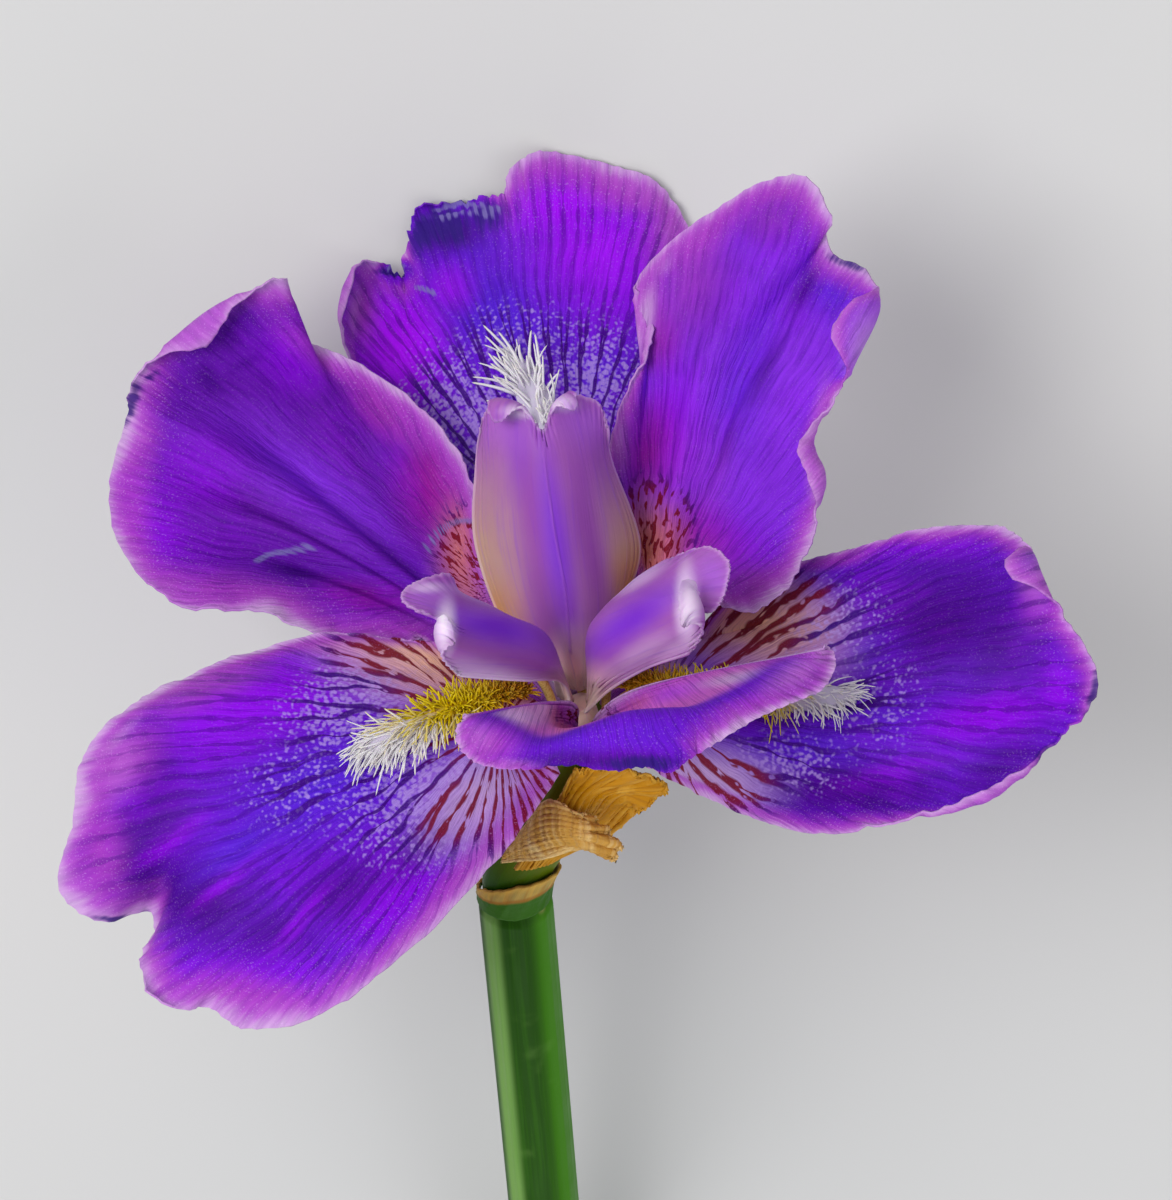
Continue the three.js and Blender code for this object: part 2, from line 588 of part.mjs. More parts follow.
function collarPoint(k, row, outer) {
  const right = unit(add([1, 0, 0], STEM_WAY, -STEM_WAY[0]));
  const other = cross(STEM_WAY, right);
  const angle = (2 * Math.PI * k) / COLLAR_SIDES;
  const c = Math.cos(angle);
  const s = Math.sin(angle);
  const t = 1 - row / (COLLAR_ROWS - 1);
  const low = COLLAR_LOW.middle + COLLAR_LOW.right * c + COLLAR_LOW.front * s;
  const along = low - t * (COLLAR_WALL.middle + COLLAR_WALL.right * c + COLLAR_WALL.front * s);
  const r = NECK_RADIUS + GAP + 0.12 + 0.3 * t * Math.max(0, c) + (outer ? BLADE : 0);
  const out = add(times(right, c), other, s);
  const middle = add(add(STEM_TOP, STEM_WAY, along), [1, 0, 0], NECK_BEND * along * along);
  return add(middle, out, r);
}

function collarBody() {
  const positions = [];
  const index = [];
  for (const outer of [0, 1]) {
    for (let i = 0; i < COLLAR_ROWS; i += 1) {
      for (let k = 0; k < COLLAR_SIDES; k += 1) positions.push(...collarPoint(k, i, outer));
    }
  }
  const at = (i, k, outer) => (outer * COLLAR_ROWS + i) * COLLAR_SIDES + (k % COLLAR_SIDES);
  const quad = (a, b, c, d) => {
    index.push(a, b, c);
    index.push(a, c, d);
  };
  const last = COLLAR_ROWS - 1;
  for (let k = 0; k < COLLAR_SIDES; k += 1) {
    for (let i = 0; i < last; i += 1) {
      quad(at(i, k, 1), at(i, k + 1, 1), at(i + 1, k + 1, 1), at(i + 1, k, 1));
      quad(at(i, k, 0), at(i + 1, k, 0), at(i + 1, k + 1, 0), at(i, k + 1, 0));
    }
    quad(at(0, k, 0), at(0, k + 1, 0), at(0, k + 1, 1), at(0, k, 1));
    quad(at(last, k, 1), at(last, k + 1, 1), at(last, k + 1, 0), at(last, k, 0));
  }
  return outward({ positions, index });
}

// Stamen under a style arm: radius from the axis, height along it and thickness of the thread,
// then of the pollen sac
const STAMEN = [[3.1, -1.5, 0.5], [3.15, 1, 0.5], [3.6, 5, 0.5], [5, 9.5, 0.5], [7.2, 13, 0.45],
  [8.1, 14, 0.9], [10.8, 16.2, 1.1], [13.6, 18.4, 0.95], [15, 19.4, 0.35]];

function stamenBody(degrees) {
  const path = STAMEN.map(([r, h]) => ring(degrees, r, h));
  return tube(path, STAMEN.map(([, , thick]) => thick), 8);
}

// Colour and roughness of each kind of piece
const PETAL_ROUGHNESS = 0.55;
const FINISHES = {
  fall: { color: '#4a1fb0', roughness: PETAL_ROUGHNESS },
  standard: { color: '#6d35c8', roughness: PETAL_ROUGHNESS },
  style: { color: '#9a5cc4', roughness: PETAL_ROUGHNESS },
  column: { color: '#b98a6e', roughness: PETAL_ROUGHNESS },
  yellow: { color: '#d9b400', roughness: 0.7 },
  white: { color: '#e9e4ea', roughness: 0.7 },
  stem: { color: '#3f7a1c', roughness: 0.45 },
  ovary: { color: '#5f8f2a', roughness: 0.5 },
  spathe: { color: '#c8862a', roughness: 0.6 },
  dry: { color: '#c9a468', roughness: 0.7 },
  stamen: { color: '#dccfa6', roughness: 0.7 },
};

const bodies = [
  ['stem', 'stem', stemBody()],
  ['ovary_tube', 'ovary', ovaryBody()],
  ['spathe_collar', 'dry', collarBody()],
  ['spathe_outer', 'dry', petalBody('spathe_outer')],
  ['spathe_inner', 'spathe', petalBody('spathe_inner')],
  ['fall_back', 'fall', petalBody('fall_back')],
  ['fall_left', 'fall', petalBody('fall_left')],
  ['fall_right', 'fall', petalBody('fall_right')],
  ['standard_left', 'standard', petalBody('standard_left')],
  ['standard_right', 'standard', petalBody('standard_right')],
  ['standard_front', 'standard', petalBody('standard_front')],
  ['style_column', 'column', columnBody()],
  ['style_back', 'style', petalBody('style_back')],
  ['style_left', 'style', petalBody('style_left')],
  ['style_right', 'style', petalBody('style_right')],
  ['stamen_back', 'stamen', stamenBody(90)],
  ['stamen_left', 'stamen', stamenBody(210)],
  ['stamen_right', 'stamen', stamenBody(330)],
  ...['back', 'left', 'right'].flatMap((side) => ['yellow', 'white'].map(
    (colour) => [`beard_${side}_${colour}`, colour, beardBody(side, colour)])),
];

// From the front frame to the surface it lies on
const RIGHT = [1, 0, 0];
const FORWARD = cross(SURFACE_UP, RIGHT);
const turned = (p) => [dot(p, RIGHT), dot(p, FORWARD), dot(p, SURFACE_UP)];
const low = [Infinity, Infinity, Infinity];
const high = [-Infinity, -Infinity, -Infinity];
for (const [, , body] of bodies) {
  for (let k = 0; k < body.positions.length; k += 3) {
    const p = turned(body.positions.slice(k, k + 3));
    for (let i = 0; i < 3; i += 1) {
      body.positions[k + i] = p[i];
      low[i] = Math.min(low[i], p[i]);
      high[i] = Math.max(high[i], p[i]);
    }
  }
}
const shift = [-(low[0] + high[0]) / 2, -(low[1] + high[1]) / 2, -low[2]];

const group = new THREE.Group();
group.name = 'iris_flower';
for (const [name, kind, body] of bodies) {
  const geometry = new THREE.BufferGeometry();
  const moved = body.positions.map((value, i) => value + shift[i % 3]);
  geometry.setAttribute('position', new THREE.Float32BufferAttribute(moved, 3));
  geometry.setIndex(body.index);
  geometry.computeVertexNormals();
  const material = new THREE.MeshStandardMaterial({ ...FINISHES[kind], metalness: 0, name: kind });
  const mesh = new THREE.Mesh(geometry, material);
  mesh.name = name;
  group.add(mesh);
}

export default group;
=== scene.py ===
import math

import bpy
import numpy as np
from bpy.props import FloatProperty, FloatVectorProperty, IntProperty, PointerProperty
from mathutils import Matrix


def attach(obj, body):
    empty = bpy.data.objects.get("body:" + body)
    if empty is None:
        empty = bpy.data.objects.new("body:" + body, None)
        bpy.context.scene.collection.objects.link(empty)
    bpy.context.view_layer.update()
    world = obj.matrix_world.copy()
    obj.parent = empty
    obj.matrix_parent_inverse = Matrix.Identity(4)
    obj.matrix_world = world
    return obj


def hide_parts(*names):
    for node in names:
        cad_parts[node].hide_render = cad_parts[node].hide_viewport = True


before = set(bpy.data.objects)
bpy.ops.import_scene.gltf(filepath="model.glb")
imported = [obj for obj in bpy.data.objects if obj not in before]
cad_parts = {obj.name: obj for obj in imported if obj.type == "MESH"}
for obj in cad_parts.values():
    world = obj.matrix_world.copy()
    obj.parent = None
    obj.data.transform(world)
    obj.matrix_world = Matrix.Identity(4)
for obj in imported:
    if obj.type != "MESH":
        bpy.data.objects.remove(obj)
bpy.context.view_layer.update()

bl_info = {
    "name": "Cut iris flower",
    "version": (1, 0, 0),
    "blender": (4, 5, 0),
    "location": "3D View > Sidebar > Iris",
    "description": "Petals, beards, style arms, bracts and stem of a cut iris in bloom",
    "category": "Add Mesh",
}

# Front frame, in millimetres: x right, y up and z near, as the picture is seen. Places are given
# as picture pixels and an offset towards the eye, and put on the sight line through the pixel.
# Millimetres a pixel at the heart, the eye's distance, two places on the picture and its height in
# pixels, the turn and height of the surface that the flower lies on, and the shift onto it.
PIXEL = 112.0 / 1038.0
EYE = 600.0
HEART = (582.0, 712.0)
MIDDLE = (586.0, 600.0)
PICTURE_HEIGHT = 1200.0
LIE_ANGLE = math.radians(22.0)
SURFACE = -48.5
SHIFT = np.array([1.1360, 25.7873, 48.3713])

# Shared with the solids, in millimetres. BAND is the share of a petal before its margin turns over.
RIM_HEIGHT = -1.95
COLUMN_RADIUS = 1.8
STEM_RADIUS = 4.15
NECK_RADIUS = 3.5
STEM_TOP = np.array([-7.5, -20.1, -20.0])
STEM_DIRECTION = np.array([0.0555, -0.707, -0.706])
STEM_LENGTH = 86.4
FALL_RING = 4.6
STANDARD_RING = 3.3
PETAL_START = -1.5
GAP = 0.3
BAND = 0.8

# Step between two places of a surface when its slope is worked out, and places on a margin
STEP = 0.004
MARGIN_STEPS = 801

# Grids of the blades: rows up to the margin, rows over the margin, columns. Of the other pieces:
# rows and columns, or the stem's sides alone.
PETAL_GRID = (74, 22, 200)
ARM_GRID = (60, 26, 140)
BRACT_GRID = (60, 16, 90)
COLLAR_GRID = (24, 120)
MOUND_GRID = (24, 16)
STEM_SIDES = 96
TUBE_GRID = (70, 60)
STAMEN_GRID = (60, 20)
COLUMN_GRID = (24, 40)

# Row of an arm or bract whose run across gives its map, the maps' unit, which is a tenth of a
# metre, and the millimetres of a metre
MAP_ROW = 37
TENTHS = 0.01
METRE = 1000

# Directions that no path and no hair runs along, from which their rings are turned
TUBE_HINT = np.array([0.3, 1.0, 0.2])
HAIR_HINT = np.array([0.31, 0.9, 0.24])

# Seeds of the frills and waves along a margin
FALL_SEED = 11
STANDARD_SEED = 31
ARM_SEED = 51
BRACT_SEED = 71
PETAL_WAVES = 22
ARM_WAVES = 26
BRACT_WAVES = 12

# Millimetres from a margin over which its field runs out, it is raised and it is drawn in
MARGIN_REACH = 10.0
FRILL_REACH = 5.0
NOTCH_REACH = 2.0

# Wall of the collar, share of the pale colour on the backs of petals, and veins in ten radians of
# a fan, on the falls and on the standards
COLLAR_WALL = 0.35
PALE_BACK = 0.4
FALL_VEINS = 62.0
STANDARD_VEINS = 80.0

# Half the floor's width and the point that the lamps look at, in metres
FLOOR_REACH = 3.0
LIT_POINT = np.array([0.0, 0.02, 0.04])


def unit(a):
    """Vectors divided by their own length."""
    return a / (np.linalg.norm(a, axis=-1, keepdims=True) + 1e-12)


AXIS = unit(np.array([-0.09, 0.70, 0.71]))
ACROSS = unit(np.array([1.0, 0.0, 0.0]) - AXIS[0] * AXIS)
BACKWARD = np.cross(AXIS, ACROSS)
SURFACE_UP = np.array([0.0, -math.sin(LIE_ANGLE), math.cos(LIE_ANGLE)])
FORWARD = np.array([0.0, math.cos(LIE_ANGLE), math.sin(LIE_ANGLE)])
RIGHT = np.array([1.0, 0.0, 0.0])
NEAR = np.array([0.0, 0.0, 1.0])
STEM_WAY = unit(STEM_DIRECTION)

# Middle line of the ovary and its tube, from the rim down to the stem, and the radius at each point
TUBE_PATH = np.array([AXIS * RIM_HEIGHT, AXIS * (RIM_HEIGHT - 0.9), AXIS * (RIM_HEIGHT - 2.6),
                      (-1.3, -6.5, -6.4), (-2.9, -10.4, -10.2), (-4.9, -13.5, -13.3), (-6.7, -16.2, -16),
                      STEM_TOP - STEM_WAY * 2.2, STEM_TOP - STEM_WAY * GAP])
TUBE_RADII = np.array([5.3, 5.2, 3.9, 3.2, 3.1, 3.5, 3.6, 3.4, 3.4])

# Stamen from its root to its tip: distance from the axis, height along it, radius
STAMEN = np.array([(3.1, -1.5, 0.5), (3.15, 1, 0.5), (3.6, 5, 0.5), (5, 9.5, 0.5), (7.2, 13, 0.45),
                   (8.1, 14, 0.9), (10.8, 16.2, 1.1), (13.6, 18.4, 0.95), (15, 19.4, 0.35)])


def turned(points):
    """Front-frame points or directions turned so that the surface is level."""
    return np.stack([points @ RIGHT, points @ FORWARD, points @ SURFACE_UP], -1)


def to_part(points):
    """Front-frame millimetres turned onto the surface, shifted and given in metres."""
    return (turned(points) + SHIFT) * 0.001


def place(rows, up, datum=0.0):
    """Where the sight line through each pixel meets the plane square to up at datum + offset."""
    p = np.asarray(rows, float)
    ax = (p[:, 0] - HEART[0]) * PIXEL
    ay = (HEART[1] - p[:, 1]) * PIXEL
    along = up[0] * ax + up[1] * ay
    z = (datum + p[:, 2] - along) / (up[2] - along / EYE)
    f = 1 - z / EYE
    return np.stack([ax * f, ay * f, z], 1)


def pixels(points):
    """Picture pixels of front-frame points: the same sight lines read backwards."""
    f = 1 - points[..., 2] / EYE
    return np.stack([HEART[0] + points[..., 0] / f / PIXEL,
                     HEART[1] - points[..., 1] / f / PIXEL], -1)


def ring(degrees, radius, height):
    """Points round the flower's axis: radius times the turned direction, plus height along it."""
    a = np.radians(np.asarray(degrees, float))[..., None]
    out = np.cos(a) * ACROSS + np.sin(a) * BACKWARD
    return out * np.asarray(radius)[..., None] + AXIS * np.asarray(height)[..., None]


def extended(rows):
    """Rows with one more at each end, carried on straight."""
    return np.concatenate([2 * rows[:1] - rows[1:2], rows, 2 * rows[-1:] - rows[-2:-1]])


def spline_parts(t, count):
    """First of the four rows that shape a Catmull-Rom curve at t, and the share of each."""
    s = np.clip(t, 0, 1) * (count - 1)
    k = np.minimum(s.astype(int), count - 2)
    w = s - k
    return k, ((-w + 2 * w * w - w ** 3) / 2, (2 - 5 * w * w + 3 * w ** 3) / 2,
               (w + 4 * w * w - 3 * w ** 3) / 2, (w ** 3 - w * w) / 2)


def smooth_line(points, t):
    """Catmull-Rom curve through points, t from 0 to 1, with its ends carried on straight."""
    p = extended(np.asarray(points, float))
    k, parts = spline_parts(t, len(points))
    return sum(part[..., None] * p[k + i] for i, part in enumerate(parts))


def bump(x, centre, spread):
    """(1 - d²)², with d the distance from the centre over the spread, and 0 beyond it."""
    t = np.clip(np.abs(x - centre) / spread, 0, 1)
    return (1 - t * t) ** 2


def ease(x, low, high):
    """Smooth step from 0 at low to 1 at high: 3t² - 2t³."""
    t = np.clip((x - low) / (high - low), 0, 1)
    return t * t * (3 - 2 * t)


def wander(x, seed, octaves=3):
    """Steady irregular wave between about -1 and 1: a sum of sines of doubled rates."""
    rng = np.random.default_rng(seed)
    total = np.zeros(np.shape(x))
    for k in range(octaves):
        rate, phase = rng.uniform(0.8, 1.25), rng.uniform(0, 2 * np.pi)
        total = total + np.sin(2 * np.pi * rate * 2 ** k * x + phase) / 1.6 ** k
    return total / 1.9


# Petals. Each row is a line across the petal, pixels and offset; the last row is its outline.
# folds: place across, spread, mm, place along, spread; ruffles: waves, phase, mm, place across,
# spread; rolls: place across, spread, radius, degrees. A sector is the angles of a petal's foot
# round the axis, an arm those of a style arm's foot, and a rim the radius of the margin's arc.
PETALS = {
    "fall_left": dict(
        sector=(185, 240), up=AXIS,
        rows=[
            [(500, 664, 4.5), (450, 670, 6.5), (420, 690, 7.5), (415, 722, 8), (430, 750, 6.5),
             (480, 768, 4), (552, 755, 0)],
            [(462, 647, 7), (355, 652, 9), (265, 690, 9), (205, 755, 7.5), (205, 830, 4.5), (245, 890, 1.5),
             (320, 910, 0), (430, 850, 0), (556, 765, -0.5)],
            [(425, 640, 8), (385, 639, 8), (330, 633, 8), (240, 653, 7), (175, 682, 6), (120, 722, 5),
             (84, 763, 3), (68, 830, 1), (58, 885, -3), (92, 916, -6), (148, 914, -8), (140, 938, -8),
             (140, 964, -8), (174, 1001, -9), (210, 1008, -10), (240, 1029, -10), (305, 1022, -9),
             (370, 984, -6), (450, 912, -3), (520, 832, -1), (560, 775, -1)],
        ],
        folds=[(0.30, 0.10, 1.0, 0.8, 0.4), (0.47, 0.08, -1.0, 0.8, 0.4)],
        ruffles=[(5, 0, 1.2, 0.5, 0.5)],
        rolls=[(0.64, 0.035, 1.2, 110)]),
    "fall_right": dict(
        sector=(355, 300), up=AXIS, side=-1,
        rows=[
            [(665, 673, 2.8), (697, 643, 5.2), (730, 660, 7.5), (745, 692, 8), (735, 730, 6.5),
             (700, 758, 3), (625, 752, 0)],
            [(700, 628, 6), (800, 605, 11), (890, 610, 13), (940, 650, 13), (950, 700, 11), (910, 755, 8),
             (850, 780, 5), (740, 790, 1.5), (640, 760, -0.5)],
            [(730, 594, 8), (800, 562, 13), (860, 546, 15), (920, 530, 17), (975, 525, 18),
             (1005, 524, 19), (1038, 556, 19), (1060, 605, 18), (1087, 650, 16), (1098, 690, 13),
             (1073, 732, 10), (1030, 772, 9), (970, 806, 8), (890, 828, 5), (820, 835, 2), (750, 818, 0),
             (695, 792, -1), (645, 766, -1)],
        ],
        ruffles=[(5, 0.3, 1.2, 0.5, 0.5)],
        rolls=[(0.385, 0.05, 2.3, 180), (0.68, 0.13, 1.4, 120)]),
    "fall_back": dict(
        sector=(118, 62), up=SURFACE_UP, datum=SURFACE, side=-1,
        rows=[
            [(505, 575, 32), (540, 550, 35.5), (572, 542, 36.4), (606, 550, 35.5), (640, 575, 32)],
            [(440, 500, 24), (412, 415, 17), (450, 350, 12.5), (520, 325, 11), (590, 340, 12.5),
             (632, 395, 17), (650, 480, 24)],
            [(420, 520, 26), (375, 440, 18), (347, 345, 9), (355, 285, 4), (386, 264, 2.5), (402, 276, 2),
             (409, 250, 1), (412, 216, 0.8), (446, 203, 1.2), (480, 193, 1.6), (508, 192, 1.5),
             (518, 162, 1.5), (545, 148, 1.5), (605, 160, 1), (655, 180, 1), (684, 225, 0.8),
             (700, 290, 3), (690, 370, 9), (670, 450, 17), (650, 520, 26)],
        ],
        ruffles=[(4, 0.1, 1.0, 0.5, 0.45)],
        rolls=[(0.14, 0.10, 2.4, 170), (0.40, 0.06, 1.4, 120)]),
    "standard_left": dict(
        sector=(125, 175), up=NEAR,
        rows=[
            [(492, 588, -6), (472, 598, -8), (458, 612, -7.5), (446, 628, -6), (438, 648, -4)],
            [(484, 555, -8), (440, 500, -12), (375, 450, -14), (290, 450, -13), (240, 510, -10),
             (300, 575, -6), (420, 640, -4)],
            [(479, 535, -8), (476, 495, -9), (455, 445, -10), (410, 397, -12), (350, 358, -13),
             (300, 337, -12), (280, 305, -9), (277, 276, -6), (235, 293, -7), (185, 330, -9),
             (135, 378, -11), (128, 412, -12), (108, 485, -10), (122, 550, -6), (180, 608, 0),
             (260, 614, -1), (340, 643, -3), (395, 646, -3.5), (425, 648, -4)],
        ],
        folds=[(0.5, 0.09, -2.0, 0.8, 0.45), (0.58, 0.06, 1.2, 0.8, 0.45), (0.78, 0.08, -1.5, 0.72, 0.25),
               (0.70, 0.06, 1.2, 0.75, 0.3)],
        ruffles=[(5, 0.2, 1.0, 0.55, 0.4)],
        rolls=[(0.48, 0.11, 1.9, 190)]),
    "standard_right": dict(
        sector=(55, 15), up=NEAR, side=-1,
        rows=[
            [(640, 610, -3), (653, 600, -4), (665, 598, -2), (674, 604, 1), (681, 614, 4.5)],
            [(628, 560, -5), (640, 470, -6), (680, 380, -3), (740, 360, 3), (780, 430, 8), (765, 520, 9),
             (708, 600, 8)],
            [(625, 530, -6), (610, 465, -6), (614, 425, -5), (640, 360, -4), (647, 322, -5), (635, 285, -6),
             (665, 245, -5), (720, 205, -2), (770, 178, 2), (812, 177, 6), (832, 212, 9), (828, 249, 8),
             (865, 268, 11), (888, 310, 14), (862, 368, 15), (836, 400, 14), (818, 442, 13), (830, 475, 15),
             (822, 512, 14), (806, 558, 13), (782, 595, 12), (750, 613, 11), (722, 606, 9)],
        ],
        folds=[(0.5, 0.08, -2.0, 0.8, 0.45), (0.43, 0.07, 1.2, 0.8, 0.45), (0.62, 0.08, 1.2, 0.75, 0.4)],
        rolls=[(0.17, 0.10, 1.3, 60), (0.61, 0.06, 2.4, 175), (0.76, 0.10, 1.5, 150)]),
    "standard_front": dict(
        sector=(245, 295), up=NEAR, side=-1,
        rows=[
            [(576, 708, 6.5), (572, 730, 6), (585, 746, 7.5), (600, 735, 6.5), (597, 714, 6.5)],
            [(555, 702, 10.5), (552, 726, 12), (600, 742, 15.5), (652, 716, 15.5), (650, 684, 14)],
            [(474, 716, 25), (500, 722, 29), (540, 741, 33.5), (580, 732, 35), (625, 715, 36),
             (662, 711, 35.5), (702, 708, 34), (738, 692, 32), (772, 671, 29), (806, 652, 26)],
            [(465, 714, 26), (455, 732, 27), (460, 750, 29), (480, 765, 31), (520, 770, 33), (570, 766, 34),
             (610, 772, 35), (645, 768, 36), (670, 774, 36), (690, 760, 36), (720, 742, 35), (760, 718, 33),
             (800, 700, 31), (825, 688, 29), (837, 662, 27), (828, 643, 26)],
        ]),
    "style_back": dict(
        arm=(135, 45), up=NEAR, side=-1, rim=1.0,
        rows=[
            [(510, 635, -1.5), (535, 625, 2.4), (571, 618, 5), (603, 612, 2.4), (622, 606, -1.5)],
            [(476, 545, -1.5), (512, 545, 4), (557, 545, 7), (600, 540, 4), (640, 545, -1.5)],
            [(476, 468, 1), (505, 465, 6), (547, 462, 8.5), (585, 455, 6), (612, 462, 1)],
            [(480, 430, 4), (486, 411, 5), (502, 400, 6.5), (525, 406, 8), (542, 428, 8.6), (552, 404, 8),
             (572, 393, 6.5), (598, 402, 5), (609, 430, 4)],
        ],
        rolls=[(0.31, 0.15, 1.5, 215), (0.66, 0.11, 1.3, 200)]),
    "style_left": dict(
        arm=(165, 250), up=NEAR, side=1, rim=0.9,
        rows=[
            [(545, 646, 6), (547, 639, 9.5), (548, 650, 11.8), (553, 668, 12), (562, 682, 9.5)],
            [(498, 612, 10), (506, 620, 15), (505, 635, 18), (512, 658, 19), (522, 680, 15)],
            [(462, 594, 16), (462, 612, 21), (462, 628, 24), (462, 652, 25), (466, 676, 20)],
            [(452, 590, 17), (447, 572, 19), (425, 577, 22), (403, 588, 24), (401, 600, 25),
             (418, 611, 25.5), (446, 617, 25), (436, 619, 27), (432, 634, 27.5), (438, 652, 27),
             (447, 665, 25), (458, 673, 22)],
        ],
        rolls=[(0.72, 0.16, 1.3, 190)]),
    "style_right": dict(
        arm=(375, 285), up=NEAR, side=-1, rim=0.9,
        rows=[
            [(593, 630, 6.5), (590, 634, 9.5), (596, 650, 11.8), (603, 672, 12), (610, 690, 9)],
            [(628, 586, 11), (625, 606, 15), (632, 625, 18), (640, 650, 19), (648, 668, 15)],
            [(662, 562, 16), (662, 590, 21), (672, 605, 24), (685, 630, 25), (684, 656, 20)],
            [(672, 561, 17), (686, 552, 19), (712, 546, 22), (730, 560, 24), (730, 580, 25),
             (722, 604, 25.5), (708, 612, 25), (697, 588, 27), (706, 606, 27.5), (706, 624, 27),
             (700, 640, 25), (692, 651, 22)],
        ],
        rolls=[(0.72, 0.16, 1.6, 190)]),
    "spathe_inner": dict(
        up=NEAR, side=-1, rim=0.6,
        start=[(515, 868, -9.2), (530, 868, -8.8), (545, 864, -8.6), (558, 858, -10.2)],
        rows=[
            [(545, 824, -4.4), (567, 818, -3.9), (591, 818, -6.5), (603, 838, -11)],
            [(562, 792, -1.4), (590, 789, -1.2), (620, 794, -3), (634, 814, -7.5)],
            [(575, 769, 2.4), (605, 766, 3.6), (635, 769, 2), (668, 786, -2), (655, 801, -5),
             (625, 822, -9), (604, 838, -12)],
        ],
        ruffles=[(6, 0, 0.3, 0.5, 0.6)]),
    "spathe_outer": dict(
        up=NEAR, side=-1, rim=0.6,
        start=[(518, 836, -7.4), (506, 850, -8.6), (503, 862, -10)],
        rows=[
            [(547, 801, 0.1), (541, 830, -1.5), (536, 859, -5)],
            [(578, 813, -0.6), (575, 832, -0.4), (571, 850, -3.8)],
            [(592, 816, -3), (606, 832, -4), (619, 844, -4.5), (617, 855, -5.5), (603, 846, -5.6)],
        ],
        ruffles=[(4, 0.2, 0.9, 0.5, 0.6)]),
}


def first_lines(name, petal):
    """Lines that hold a petal: an arc of its ring round the axis, and the neck just above it."""
    if "start" in petal:
        return [place(petal["start"], petal["up"])]
    if "arm" in petal:
        t = np.array([0, 0.27, 0.5, 0.73, 1])
        angles = petal["arm"][0] + (petal["arm"][1] - petal["arm"][0]) * t
        return [ring(angles, np.array([2.5, 1.5, 1.05, 1.5, 2.5]), np.full(5, 2.3))]
    t = np.linspace(0, 1, 5)
    angles = petal["sector"][0] + (petal["sector"][1] - petal["sector"][0]) * t
    fall = name.startswith("fall")
    base = ring(angles, np.full(5, FALL_RING if fall else STANDARD_RING), np.full(5, PETAL_START))
    if name == "standard_front":
        return [base]
    edge = (2 * t - 1) ** 2
    if fall:
        return [base, ring(angles, 6.5 + 0.5 * edge, 6 - 4 * edge)]
    return [base, ring(angles, np.full(5, 7.5), 0.6 + 0.8 * edge)]


for name, petal in PETALS.items():
    petal["lines"] = first_lines(name, petal) + [
        place(row, petal["up"], petal.get("datum", 0.0)) for row in petal["rows"]]


def sheet(lines, u, v):
    """Smooth curves across each line at v, joined by smooth curves along at u."""
    a = extended(np.stack([smooth_line(line, v) for line in lines]))
    k, parts = spline_parts(u, len(lines))
    return sum(part[..., None] * np.take_along_axis(a, (k + i)[None, ..., None], 0)[0]
               for i, part in enumerate(parts))


def slopes(at, u, v, step=STEP):
    """Unit normal of a surface function and how fast it runs along u."""
    u1, u0 = np.minimum(u + step, 1), np.maximum(u - step, 0)
    along = at(u1, v) - at(u0, v)
    across = at(u, np.minimum(v + step, 1)) - at(u, np.maximum(v - step, 0))
    return unit(np.cross(along, across)), np.linalg.norm(along, axis=-1) / (u1 - u0)


def face(petal, u, v):
    """Sheet through the rows, raised along its normal by its folds and its ruffled margin."""
    side = petal.get("side", 1)
    plain = lambda a, b: sheet(petal["lines"], a, b)

    def bent(a, b):
        if not petal.get("folds") and not petal.get("ruffles"):
            return plain(a, b)
        high = np.zeros(np.shape(a))
        for v0, dv, mm, u0, du in petal.get("folds", ()):
            high = high + mm * bump(b, v0, dv) * bump(a, u0, du)
        for waves, phase, mm, v0, dv in petal.get("ruffles", ()):
            wave = np.sin(2 * np.pi * (waves * b + phase)) * bump(b, v0, dv)
            high = high + mm * wave * np.clip((a - 0.45) / 0.55, 0, 1) ** 2
        return plain(a, b) + slopes(plain, a, b)[0] * (side * high)[..., None]

    normal, speed = slopes(bent, u, v)
    return bent(u, v), normal * side, speed


def petal_point(petal, a, v):
    """Finished petal: beyond BAND the margin turns over on an arc that keeps the outline."""
    rim = petal.get("rim", 1.0)
    radius = np.full(np.shape(v), rim)
    turn = np.full(np.shape(v), math.radians(8.0))
    for v0, dv, r, degrees in petal.get("rolls", ()):
        b = bump(v, v0, dv)
        radius = radius + b * (r - rim)
        turn = turn + b * math.radians(degrees)
    line = np.linspace(0, 1, MARGIN_STEPS)
    speed = face(petal, np.ones(MARGIN_STEPS), line)[2]
    start = 1 - radius / np.interp(v, line, speed)
    t = np.clip((a - BAND) / (1 - BAND), 0, 1)
    swing = np.sin(np.minimum(turn, math.pi / 2))
    along = np.where(a <= BAND, a / BAND * start, start + (1 - start) * np.sin(turn * t) / swing)
    point, normal, _ = face(petal, np.clip(along, 0, 1), v)
    lift = np.where(a <= BAND, 0, radius * (1 - np.cos(turn * t)) / swing)
    return point + normal * lift[..., None]


def run_length(points, axis):
    """Distance run along one direction of a grid of points, from its start."""
    steps = np.linalg.norm(np.diff(points, axis=axis), axis=-1)
    pad = [(0, 0), (0, 0)]
    pad[axis] = (1, 0)
    return np.cumsum(np.pad(steps, pad), axis=axis)


def spots(places, pixel):
    """Soft ellipses on the picture: x, y, half width, half height, turn in degrees, strength."""
    total = np.zeros(pixel.shape[:-1])
    for x, y, wide, high, turn, strength in places:
        c, s = math.cos(math.radians(turn)), math.sin(math.radians(turn))
        dx, dy = pixel[..., 0] - x, pixel[..., 1] - y
        d = np.hypot((dx * c + dy * s) / wide, (dy * c - dx * s) / high)
        total = np.maximum(total, strength * (1 - ease(d, 0, 1)))
    return np.clip(total, 0, 1)


